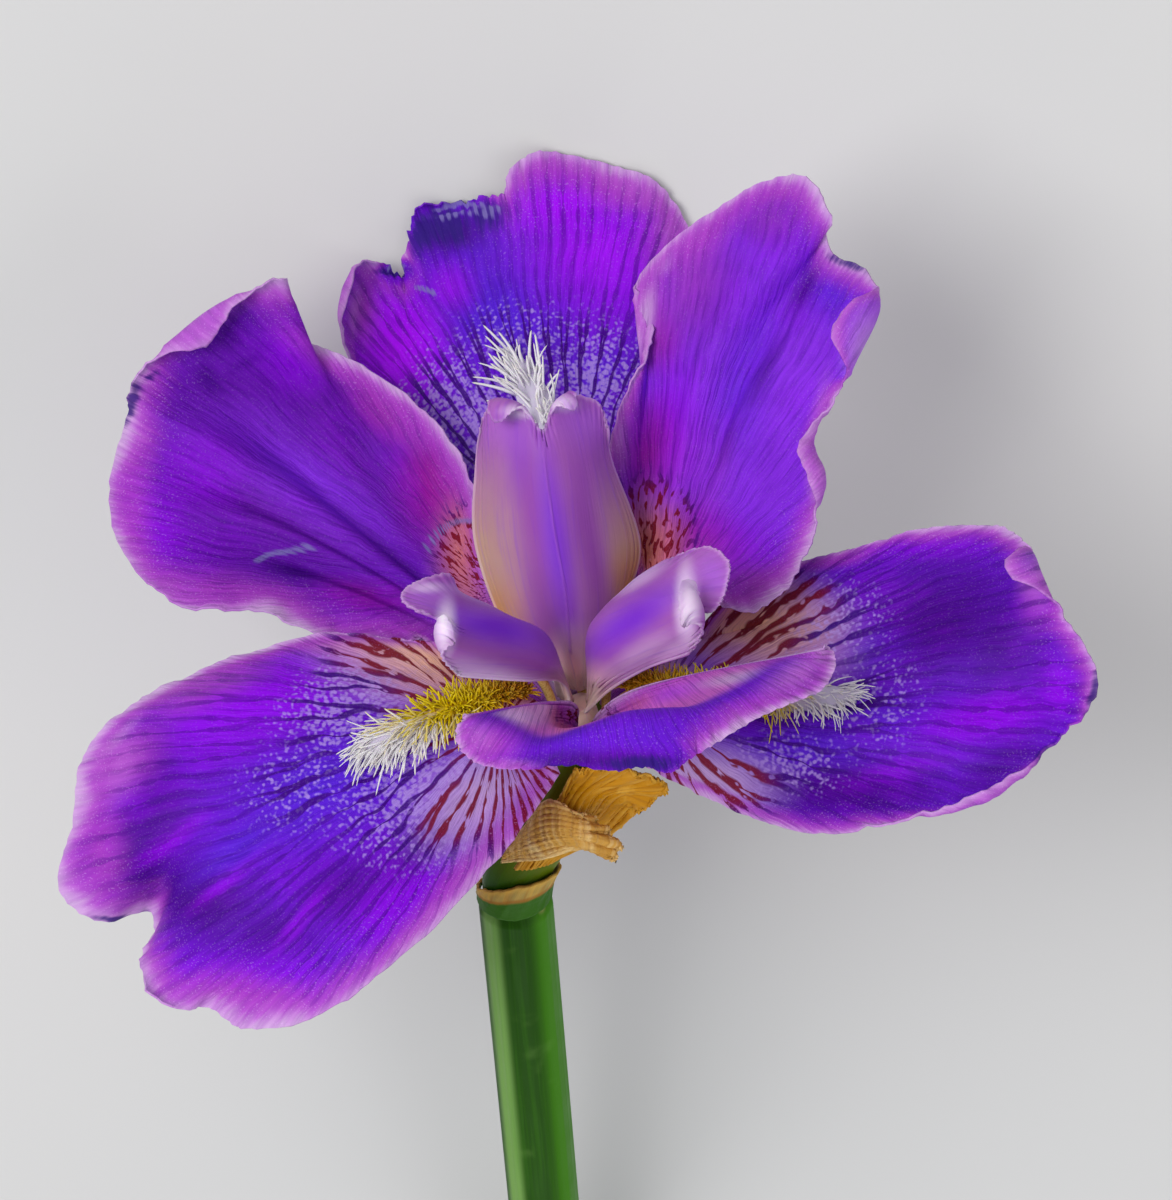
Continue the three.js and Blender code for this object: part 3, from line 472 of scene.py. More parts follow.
def line_share(line, pixel, wide):
    """Closeness to a smooth line on the picture: 1 on it, 0 farther than wide."""
    path = smooth_line(line, np.linspace(0, 1, 160))
    away = np.linalg.norm(pixel[..., None, :] - path, axis=-1).min(-1)
    return 1 - ease(away, 0, wide)


def covered(base, share, shade):
    """Colours covered by one colour as far as the share says."""
    return base * (1 - share[..., None]) + np.array(shade) * share[..., None]


def both_sides(field):
    """Numbers from 0 to 1 of a grid, for its upper and its lower face."""
    return np.tile(np.clip(field, 0, 1).ravel(), 2)


def make_mesh(name, points, faces):
    """Mesh object from front-frame millimetres, linked to the scene, its place in its vertices."""
    mesh = bpy.data.meshes.new(name)
    mesh.from_pydata(to_part(points).tolist(), [], faces.tolist())
    mesh.validate()
    mesh.update()
    mesh.shade_smooth()
    piece = bpy.data.objects.new(name, mesh)
    bpy.context.scene.collection.objects.link(piece)
    return piece


def give_attribute(piece, name, values):
    """One number a vertex, kept in the mesh for the material."""
    field = piece.data.attributes.new(name, "FLOAT", "POINT")
    field.data.foreach_set("value", np.ascontiguousarray(values, dtype=np.float32).ravel())


def give_tint(piece, tint):
    """One colour a vertex, kept in the mesh for the material. A blade takes its grid's colours for
    each of its faces, and a single colour goes to every vertex."""
    rgba = np.ones((len(piece.data.vertices), 4), dtype=np.float32)
    rgba[:, :3] = np.resize(tint, (len(rgba), 3))
    field = piece.data.color_attributes.new("tint", "FLOAT_COLOR", "POINT")
    field.data.foreach_set("color", rgba.ravel())


def give_uv(piece, uv):
    """UV map from one pair of numbers a vertex."""
    mesh = piece.data
    corners = np.empty(len(mesh.loops), dtype=np.int32)
    mesh.loops.foreach_get("vertex_index", corners)
    layer = mesh.uv_layers.new(name="petal_map")
    layer.data.foreach_set("uv", np.ascontiguousarray(uv[corners], dtype=np.float32).ravel())


def grid_faces(rows, columns, wrap=False):
    """Quads of a grid numbered row by row; wrap joins the last column to the first."""
    i = np.arange(rows - 1)[:, None]
    j = np.arange(columns if wrap else columns - 1)[None, :]
    k = (j + 1) % columns
    quads = [i * columns + j, (i + 1) * columns + j, (i + 1) * columns + k, i * columns + k]
    return np.stack(quads, -1).reshape(-1, 4)


def halves(quads):
    """Two triangles for each quad."""
    return np.concatenate([quads[:, [0, 1, 2]], quads[:, [0, 2, 3]]])


def end_caps(rows, sides, first, last):
    """Triangles from a tube's first ring to one point, and from its last ring to another."""
    k = np.arange(sides)
    after = (k + 1) % sides
    end = (rows - 1) * sides
    return np.concatenate([np.stack([np.full(sides, first), k, after], -1),
                           np.stack([np.full(sides, last), end + after, end + k], -1)])


def blade_faces(rows, columns):
    """Quads of a closed blade: upper grid, lower grid turned over, and the strip round both."""
    top = grid_faces(rows, columns)
    low = top[:, ::-1] + rows * columns
    index = np.arange(rows * columns).reshape(rows, columns)
    edge = np.concatenate([index[0, :-1], index[:-1, -1], index[-1, :0:-1], index[:0:-1, 0]])
    after = np.roll(edge, -1)
    strip = np.stack([edge, after, after + rows * columns, edge + rows * columns], -1)
    return np.concatenate([top, low, strip])


def outward(points, faces):
    """Turns every face round when the closed body's volume comes out negative."""
    a, b, c = points[faces[:, 0]], points[faces[:, 1]], points[faces[:, 2]]
    volume = np.sum(a * np.cross(b, c))
    if faces.shape[1] == 4:
        volume += np.sum(a * np.cross(c, points[faces[:, 3]]))
    return faces if volume > 0 else faces[:, ::-1]


def make_blade(name, points, normals, thick, flat, pale_back=0.0):
    """Closed blade with half its thickness on each side of the middle surface; flat is its map."""
    half = normals * (thick / 2)[..., None]
    both = np.concatenate([(points + half).reshape(-1, 3), (points - half).reshape(-1, 3)])
    rows, columns = points.shape[:2]
    piece = make_mesh(name, both, outward(both, blade_faces(rows, columns)))
    give_uv(piece, np.tile(np.stack(flat, -1).reshape(-1, 2), (2, 1)))
    give_attribute(piece, "underside", np.repeat([0.0, pale_back], rows * columns))
    return piece


def stand_for(piece, nodes, material):
    """The piece rides on the flower, stands for its solids and takes the given material."""
    piece.data.materials.append(material)
    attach(piece, "root")
    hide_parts(*nodes)


class Value:
    """Output of a node. Signs and steps add the node that works out the result."""

    def __init__(self, tree, socket):
        self.tree = tree
        self.socket = socket

    def __add__(self, other):
        return self.tree.calc("ADD", self, other)

    def __sub__(self, other):
        return self.tree.calc("SUBTRACT", self, other)

    def __rsub__(self, other):
        return self.tree.calc("SUBTRACT", other, self)

    def __mul__(self, other):
        return self.tree.calc("MULTIPLY", self, other)

    def __truediv__(self, other):
        return self.tree.calc("DIVIDE", self, other)

    __radd__ = __add__
    __rmul__ = __mul__

    def steps(self, low, high, to_low=0.0, to_high=1.0):
        """Number carried smoothly from one range to another."""
        inputs = [(0, self), (1, low), (2, high), (3, to_low), (4, to_high)]
        return self.tree.add("ShaderNodeMapRange", inputs, interpolation_type="SMOOTHSTEP")


class Tree:
    """Adds nodes to one node tree and joins them."""

    def __init__(self, tree):
        self.tree = tree

    def feed(self, value, socket):
        """Joins an output to a socket, or sets the socket's own value. A colour is three numbers."""
        if isinstance(value, Value):
            self.tree.links.new(value.socket, socket)
        else:
            socket.default_value = (*value, 1) if socket.type == "RGBA" else value

    def outputs(self, kind, inputs=(), **settings):
        """Outputs of a new node with its settings; inputs gives (socket, value or output)."""
        node = self.tree.nodes.new(kind)
        for key, value in settings.items():
            setattr(node, key, value)
        for socket, value in inputs:
            self.feed(value, node.inputs[socket])
        return [Value(self, socket) for socket in node.outputs]

    def add(self, kind, inputs=(), output=0, **settings):
        """One output of a new node."""
        return self.outputs(kind, inputs, **settings)[output]

    def calc(self, operation, a, b=0.0):
        """One sum, product or other operation on two numbers."""
        return self.add("ShaderNodeMath", [(0, a), (1, b)], operation=operation)

    def most(self, first, *others):
        """Largest of several numbers."""
        for other in others:
            first = self.calc("MAXIMUM", first, other)
        return first

    def blend(self, share, a, b, mode="MIX"):
        """Colour a covered by colour b as far as the share says."""
        inputs = [(0, share), (6, a), (7, b)]
        return self.add("ShaderNodeMix", inputs, 2, data_type="RGBA", blend_type=mode)

    def layers(self, base, *covers):
        """Base colour covered in turn by each (share, colour), or (share, colour, way to mix)."""
        for share, shade, *mode in covers:
            base = self.blend(share, base, shade, *mode)
        return base

    def pair(self, x, y):
        """Two numbers as a vector."""
        return self.add("ShaderNodeCombineXYZ", [(0, x), (1, y)])

    def parts(self, vector):
        """First two numbers of a vector."""
        return self.outputs("ShaderNodeSeparateXYZ", [(0, vector)])[:2]

    def noise(self, vector, scale, detail=2.0, rough=0.5, stretch=None):
        """Soft random pattern, stretched when asked."""
        if stretch:
            vector = self.add("ShaderNodeMapping", [("Vector", vector), ("Scale", stretch)])
        inputs = [("Vector", vector), ("Scale", scale), ("Detail", detail), ("Roughness", rough)]
        return self.add("ShaderNodeTexNoise", inputs)

    def field(self, name):
        """Number that the mesh keeps for each vertex."""
        return self.add("ShaderNodeAttribute", output=2, attribute_name=name)

    def tint(self):
        """Colour that the mesh keeps for each vertex."""
        return self.add("ShaderNodeAttribute", attribute_name="tint")

    def place(self):
        """Place on the object."""
        return self.add("ShaderNodeTexCoord", output=3)

    def map(self):
        """Place on the piece's own map."""
        return self.add("ShaderNodeUVMap", uv_map="petal_map")

    def dress(self, base, rough, *reliefs):
        """Feeds the shader a colour, a roughness and each (height, strength, distance) in turn."""
        shader = self.tree.nodes["Principled BSDF"]
        self.feed(base, shader.inputs["Base Color"])
        self.feed(rough, shader.inputs["Roughness"])
        under = []
        for relief in reliefs:
            inputs = list(zip(("Height", "Strength", "Distance"), relief)) + under
            under = [("Normal", self.add("ShaderNodeBump", inputs))]
        for socket, relief in under:
            self.feed(relief, shader.inputs[socket])


def new_group(name, inputs, outputs):
    """Empty shader node group. An input without a number is a vector."""
    group = bpy.data.node_groups.new(name, "ShaderNodeTree")
    for label, value in inputs.items():
        kind = "NodeSocketVector" if value is None else "NodeSocketFloat"
        socket = group.interface.new_socket(name=label, in_out="INPUT", socket_type=kind)
        if value is not None:
            socket.default_value = value
    for label in outputs:
        group.interface.new_socket(name=label, in_out="OUTPUT", socket_type="NodeSocketFloat")
    tree = Tree(group)
    given = dict(zip(inputs, tree.outputs("NodeGroupInput")))
    return tree, given, group.nodes.new("NodeGroupOutput").inputs


def build_vein_group():
    """Veins that fan out and fork twice. The map is in tenths of a metre: x is the angle round the
    fan's centre in radians over ten, y the distance from it. Each vein is where x times the count,
    swayed by noise, is half past a whole number; at its fork a second line leaves it and drifts
    half way to the next one. Ribs are finer lines, streaks a long thin noise and dots a shorter one."""
    tree, given, out = new_group("fanned_veins", {"Map": None, "Count": 40.0, "Width": 0.3},
                                 ["Veins", "Ribs", "Streaks", "Dots"])
    across, along = tree.parts(given["Map"])
    sway = tree.noise(given["Map"], 1.0, 1.0, 0.5, (9.0, 6.0, 1.0)) - 0.5
    wiggle = tree.noise(given["Map"], 1.0, 1.0, 0.5, (45.0, 26.0, 1.0)) - 0.5
    sideways = sway * 0.008 + wiggle * along.steps(0.06, 0.3, 0.010, 0.0015)
    phase = (across + sideways) * given["Count"]
    lane = tree.noise(tree.pair(phase * 0.6, 0.0), 1.0, 0.0)
    since = along - (0.08 + (lane - 0.5) * 0.14)

    def gap(value):
        """Distance of a phase from the middle of its lane."""
        return tree.calc("ABSOLUTE", tree.calc("FRACT", value) - 0.5)

    nearest = tree.calc("MINIMUM", gap(phase), gap(phase + since.steps(0.0, 0.08, 0.0, 0.5)))
    finer = gap(phase * 2.0 + since.steps(0.10, 0.24, 0.5, 1.0)) * 0.5
    nearest = tree.calc("MINIMUM", nearest, finer + since.steps(0.09, 0.10, 1.0, 0.0))
    broken = tree.noise(given["Map"], 1.0, 1.0, 0.5, (60.0, 45.0, 1.0))
    thin = given["Width"] / (0.7 + along * 5.0) * broken.steps(0.3, 0.6, 0.2, 0.9)
    edge = nearest / tree.most(thin, 0.001)
    tree.feed(edge.steps(0.6, 1.25, 1.0, 0.0), out["Veins"])
    tree.feed(gap(phase * 8.0).steps(0.08, 0.4, 1.0, 0.0), out["Ribs"])
    tree.feed(tree.noise(tree.pair(phase * 12.0, along * 18.0), 1.0, 2.0, 0.6), out["Streaks"])
    tree.feed(tree.noise(tree.pair(phase * 3.2, along * 62.0), 1.0, 1.0, 0.5), out["Dots"])
    return tree.tree


def build_skin_group():
    """Petal skin: very small bright grains for painted glints, soft puckers, broad clouds, and flecks,
    which are a noise less the distance from the middle of the nearest cell."""
    tree, given, out = new_group("petal_skin", {"Place": None}, ["Sparkle", "Pucker", "Flecks", "Cloud"])
    place = given["Place"]
    tree.feed(tree.noise(place, 5200.0, 1.0).steps(0.60, 0.72), out["Sparkle"])
    tree.feed(tree.noise(place, 650.0, 3.0, 0.6), out["Pucker"])
    cells = tree.add("ShaderNodeTexVoronoi", [("Vector", place), ("Scale", 1900.0)])
    tree.feed(tree.noise(place, 2300.0, 0.0) * 0.55 - cells * 0.45 + 0.45, out["Flecks"])
    tree.feed(tree.noise(place, 85.0, 3.0, 0.55), out["Cloud"])
    return tree.tree


def build_fibre_group():
    """Lengthwise fibres: noise drawn out along the second direction of the map, and patches."""
    tree, given, out = new_group("long_fibres", {"Map": None, "Count": 60.0, "Runs": 2.0},
                                 ["Fibres", "Lines", "Patches"])
    across, along = tree.parts(given["Map"])
    wide = across * given["Count"]
    fibres = tree.noise(tree.pair(wide, along * given["Runs"]), 1.0, 3.0, 0.6)
    line = tree.calc("ABSOLUTE", tree.calc("FRACT", wide * 0.5 + fibres) - 0.5)
    tree.feed(fibres, out["Fibres"])
    tree.feed(line.steps(0.02, 0.14, 1.0, 0.0), out["Lines"])
    tree.feed(tree.noise(given["Map"], 14.0, 3.0, 0.6), out["Patches"])
    return tree.tree


def new_material(name, roughness, specular=0.15, subsurface=0.0):
    """Material with one Principled shader, its constants on the shader's own sockets."""
    material = bpy.data.materials.new(name)
    material.use_nodes = True
    shader = material.node_tree.nodes["Principled BSDF"]
    shader.inputs["Roughness"].default_value = roughness
    shader.inputs["Specular IOR Level"].default_value = specular
    shader.inputs["Subsurface Weight"].default_value = subsurface
    shader.inputs["Subsurface Radius"].default_value = (0.0012, 0.0006, 0.0014)
    shader.inputs["Subsurface Scale"].default_value = 1.0
    return material, Tree(material.node_tree)


def use_group(tree, name, build, *inputs):
    """Outputs by name of a shared node group, built the first time it is asked for."""
    group = bpy.data.node_groups.get(name) or build()
    outputs = tree.outputs("ShaderNodeGroup", enumerate(inputs), node_tree=group)
    return {value.socket.name: value for value in outputs}


def veins_of(tree, count, width):
    """The fanned veins on the piece's own map."""
    return use_group(tree, "fanned_veins", build_vein_group, tree.map(), count, width)


def skin_of(tree):
    """The petal skin at the object's own places."""
    return use_group(tree, "petal_skin", build_skin_group, tree.place())


def fibres_of(tree, count, runs):
    """The lengthwise fibres on the piece's own map."""
    return use_group(tree, "long_fibres", build_fibre_group, tree.map(), count, runs)


def colour(label, default, about):
    """Colour property."""
    return FloatVectorProperty(name=label, description=about, default=default,
                               subtype="COLOR", min=0, max=1)


def measure(label, default, about, unit_name):
    """Length, power or other plain number."""
    return FloatProperty(name=label, description=about, default=default, unit=unit_name)


class IrisPetalColours(bpy.types.PropertyGroup):
    """Sizes and colours of the petals"""
    thickness: measure("Blade thickness", 0.00055, "Thickness of a petal in its middle", "LENGTH")
    margin: measure("Margin thickness", 0.00022, "Thickness of a petal at its margin", "LENGTH")
    frill: measure("Frill", 0.00035, "Height of the fine waves along the margins", "LENGTH")
    violet: colour("Violet", (0.14, 0.007, 0.58), "Main colour of the falls")
    plum: colour("Plum violet", (0.14, 0.008, 0.38), "Main colour of the left standard")
    # Bright violet is the right standard's own colour, and painted light along the left standard's valley
    bright: colour("Bright violet", (0.25, 0.028, 0.76), "Main colour of the right standard")
    # Deep violet is the darker outer parts of the falls, and painted shade in grooves, dents and shaded
    # places of the petals
    deep: colour("Deep violet", (0.062, 0.001, 0.24), "Shaded and outer parts of the falls")
    blue: colour("Blue violet", (0.090, 0.014, 0.62), "Round the beards")
    magenta: colour("Magenta violet", (0.30, 0.001, 0.82), "Blush towards the margins")
    # Painted light: a violet lighter than the petal's own, for the sunlit parts of the back fall
    sunlit_violet: colour("Glowing violet", (0.46, 0.004, 1.0), "Bright parts of the back fall")
    pink: colour("Magenta pink", (0.32, 0.006, 0.29), "Reddish flush near the throat")
    # Mauve is also painted light on the shaded lower half of the right standard
    mauve: colour("Mauve", (0.38, 0.045, 0.50), "Pink flush near the margins")
    wing: colour("Wing pink", (0.66, 0.16, 0.60), "Inner face of the folded standard")
    rim: colour("Margin lilac", (0.50, 0.14, 0.62), "Pale border of the margins")
    frost: colour("Margin white", (0.62, 0.42, 0.68), "Palest line of the margins")
    pale: colour("Pale lilac", (0.46, 0.30, 0.74), "Flecks round the beards")
    # Pearl is the pale inner lobe of the folded standard, made lighter as painted light where it lies in
    # shade
    pearl: colour("Pearl", (0.96, 0.66, 0.88), "Inner lobe of the folded standard")
    cream: colour("Cream", (0.92, 0.52, 0.30), "Claw between its veins")
    salmon: colour("Salmon", (0.68, 0.19, 0.11), "Claws of the standards")
    orange: colour("Orange", (0.66, 0.27, 0.03), "Deep in the throat")
    vein_red: colour("Red vein", (0.19, 0.002, 0.014), "Veins on the cream claw")
    vein_dark: colour("Dark vein", (0.045, 0.001, 0.20), "Veins on the blade")
    streak: colour("Streak", (0.5, 0.35, 0.6), "Darkens the long streaks")
    rib: colour("Rib", (0.45, 0.3, 0.6), "Darkens the fine ribs")
    # Painted glints: small bright grains painted into the colour
    sparkle: colour("Sparkle", (0.8, 0.42, 0.95), "Very small bright grains")
    withered: colour("Withered", (0.026, 0.010, 0.17), "Dry blue-black margins")
    grey: colour("Scar grey", (0.19, 0.15, 0.42), "Dry scars")


class IrisBeardSettings(bpy.types.PropertyGroup):
    """Number, width and colours of the hairs"""
    yellow_hairs: IntProperty(name="Yellow hairs", description="Hairs on each yellow strip", default=700)
    white_hairs: IntProperty(name="White hairs", description="Hairs on each white strip", default=380)
    hair_width: measure("Hair width", 0.00026, "Width of a hair at its root", "LENGTH")
    yellow: colour("Yellow", (0.72, 0.54, 0.0), "Hairs in the throat")
    orange: colour("Orange", (0.42, 0.16, 0.0), "Hairs deepest in the throat")
    white: colour("White", (0.84, 0.80, 0.84), "Hairs at the beard's end")
    tip: colour("Tip", (0.72, 0.62, 0.16), "Yellowish tips")
    # Painted light: lighter yellow patches on the yellow hairs
    sunlit_yellow: colour("Lemon", (0.66, 0.56, 0.04), "Patches on the yellow hairs")
    # Painted shade in patches on the white hairs
    shade: colour("Hair shade", (0.66, 0.60, 0.78), "Patches on the white hairs")
    # Painted shade at the roots of the white hairs
    root: colour("Hair root", (0.42, 0.34, 0.56), "Roots of the white hairs")


class IrisStyleColours(bpy.types.PropertyGroup):
    """Colours of the style arms, their column and the stamens"""
    base: colour("Style mauve", (0.36, 0.11, 0.42), "Main colour of the style arms")
    violet: colour("Style violet", (0.20, 0.030, 0.64), "Band along the midrib")
    magenta: colour("Style magenta", (0.25, 0.035, 0.36), "Sides of the band")
    lilac: colour("Style lilac", (0.38, 0.11, 0.60), "Crests")
    cream: colour("Style cream", (0.52, 0.33, 0.20), "Sides of the back arm")
    orange: colour("Style orange", (0.54, 0.25, 0.04), "Low on the sides")
    # The column is its own pale tan, made lighter as painted light for its shade deep in the heart
    column: colour("Column", (0.95, 0.64, 0.52), "Column that carries the arms")
    white: colour("Style white", (0.90, 0.75, 0.92), "Rolled edges")
    # The foot is the cream-pink where the arms meet, made lighter as painted light where they lie in shade
    foot: colour("Style foot", (0.96, 0.62, 0.56), "Where the arms meet")
    pollen: colour("Pollen cream", (0.66, 0.45, 0.14), "Stamens")
    pollen_dark: colour("Pollen shade", (0.48, 0.25, 0.05), "Between the grains")


class IrisStemColours(bpy.types.PropertyGroup):
    """Colours of the stem, the tube, the bracts and the collar"""
    green: colour("Green", (0.012, 0.062, 0.0), "Shaded middle of the stem")
    bright: colour("Bright green", (0.045, 0.19, 0.003), "Sunny side of the stem")
    sheath: colour("Sheath green", (0.026, 0.115, 0.001), "Foot of the collar")
    # Sage is a painted highlight strip down the left side of the stem, and faint sage patches
    sage: colour("Sage", (0.16, 0.32, 0.07), "Waxy bloom along one side")
    tube: colour("Tube green", (0.14, 0.17, 0.004), "Floral tube")
    spot: colour("Pale spot", (0.40, 0.36, 0.14), "Scar near the top of the stem")
    bract: colour("Bract gold", (0.50, 0.21, 0.0), "Inner papery bract")
    # Bract light: pale fibres and edges, and painted highlights on folds and crinkles
    bract_light: colour("Bract light", (0.68, 0.38, 0.05), "Folds of the bracts")
    bract_dark: colour("Bract shade", (0.30, 0.11, 0.004), "Veins of the bracts")
    paper: colour("Bract paper", (0.58, 0.30, 0.05), "Outer crumpled bract")
    # Paper light: pale fibres and edges, and painted highlights on the outer bract's folds and crinkles
    paper_light: colour("Paper light", (0.84, 0.62, 0.28), "Palest folds of the outer bract")
    husk: colour("Collar husk", (0.36, 0.25, 0.06), "Pale papery collar")


class IrisStageSettings(bpy.types.PropertyGroup):
    """Colours of the floor and power of the lights"""
    floor: colour("Floor", (0.62, 0.61, 0.60), "Plain pale floor")
    floor_shade: colour("Floor shade", (0.58, 0.58, 0.575), "Faint clouds in the floor")
    key: measure("Key light", 5.7, "Power of the large soft light", "POWER")
    fill: measure("Fill light", 1.9, "Power of the side light", "POWER")
    front: measure("Front light", 1.3, "Power of the low light in front", "POWER")
    air: measure("Air light", 0.50, "Strength of the even light all round", "NONE")


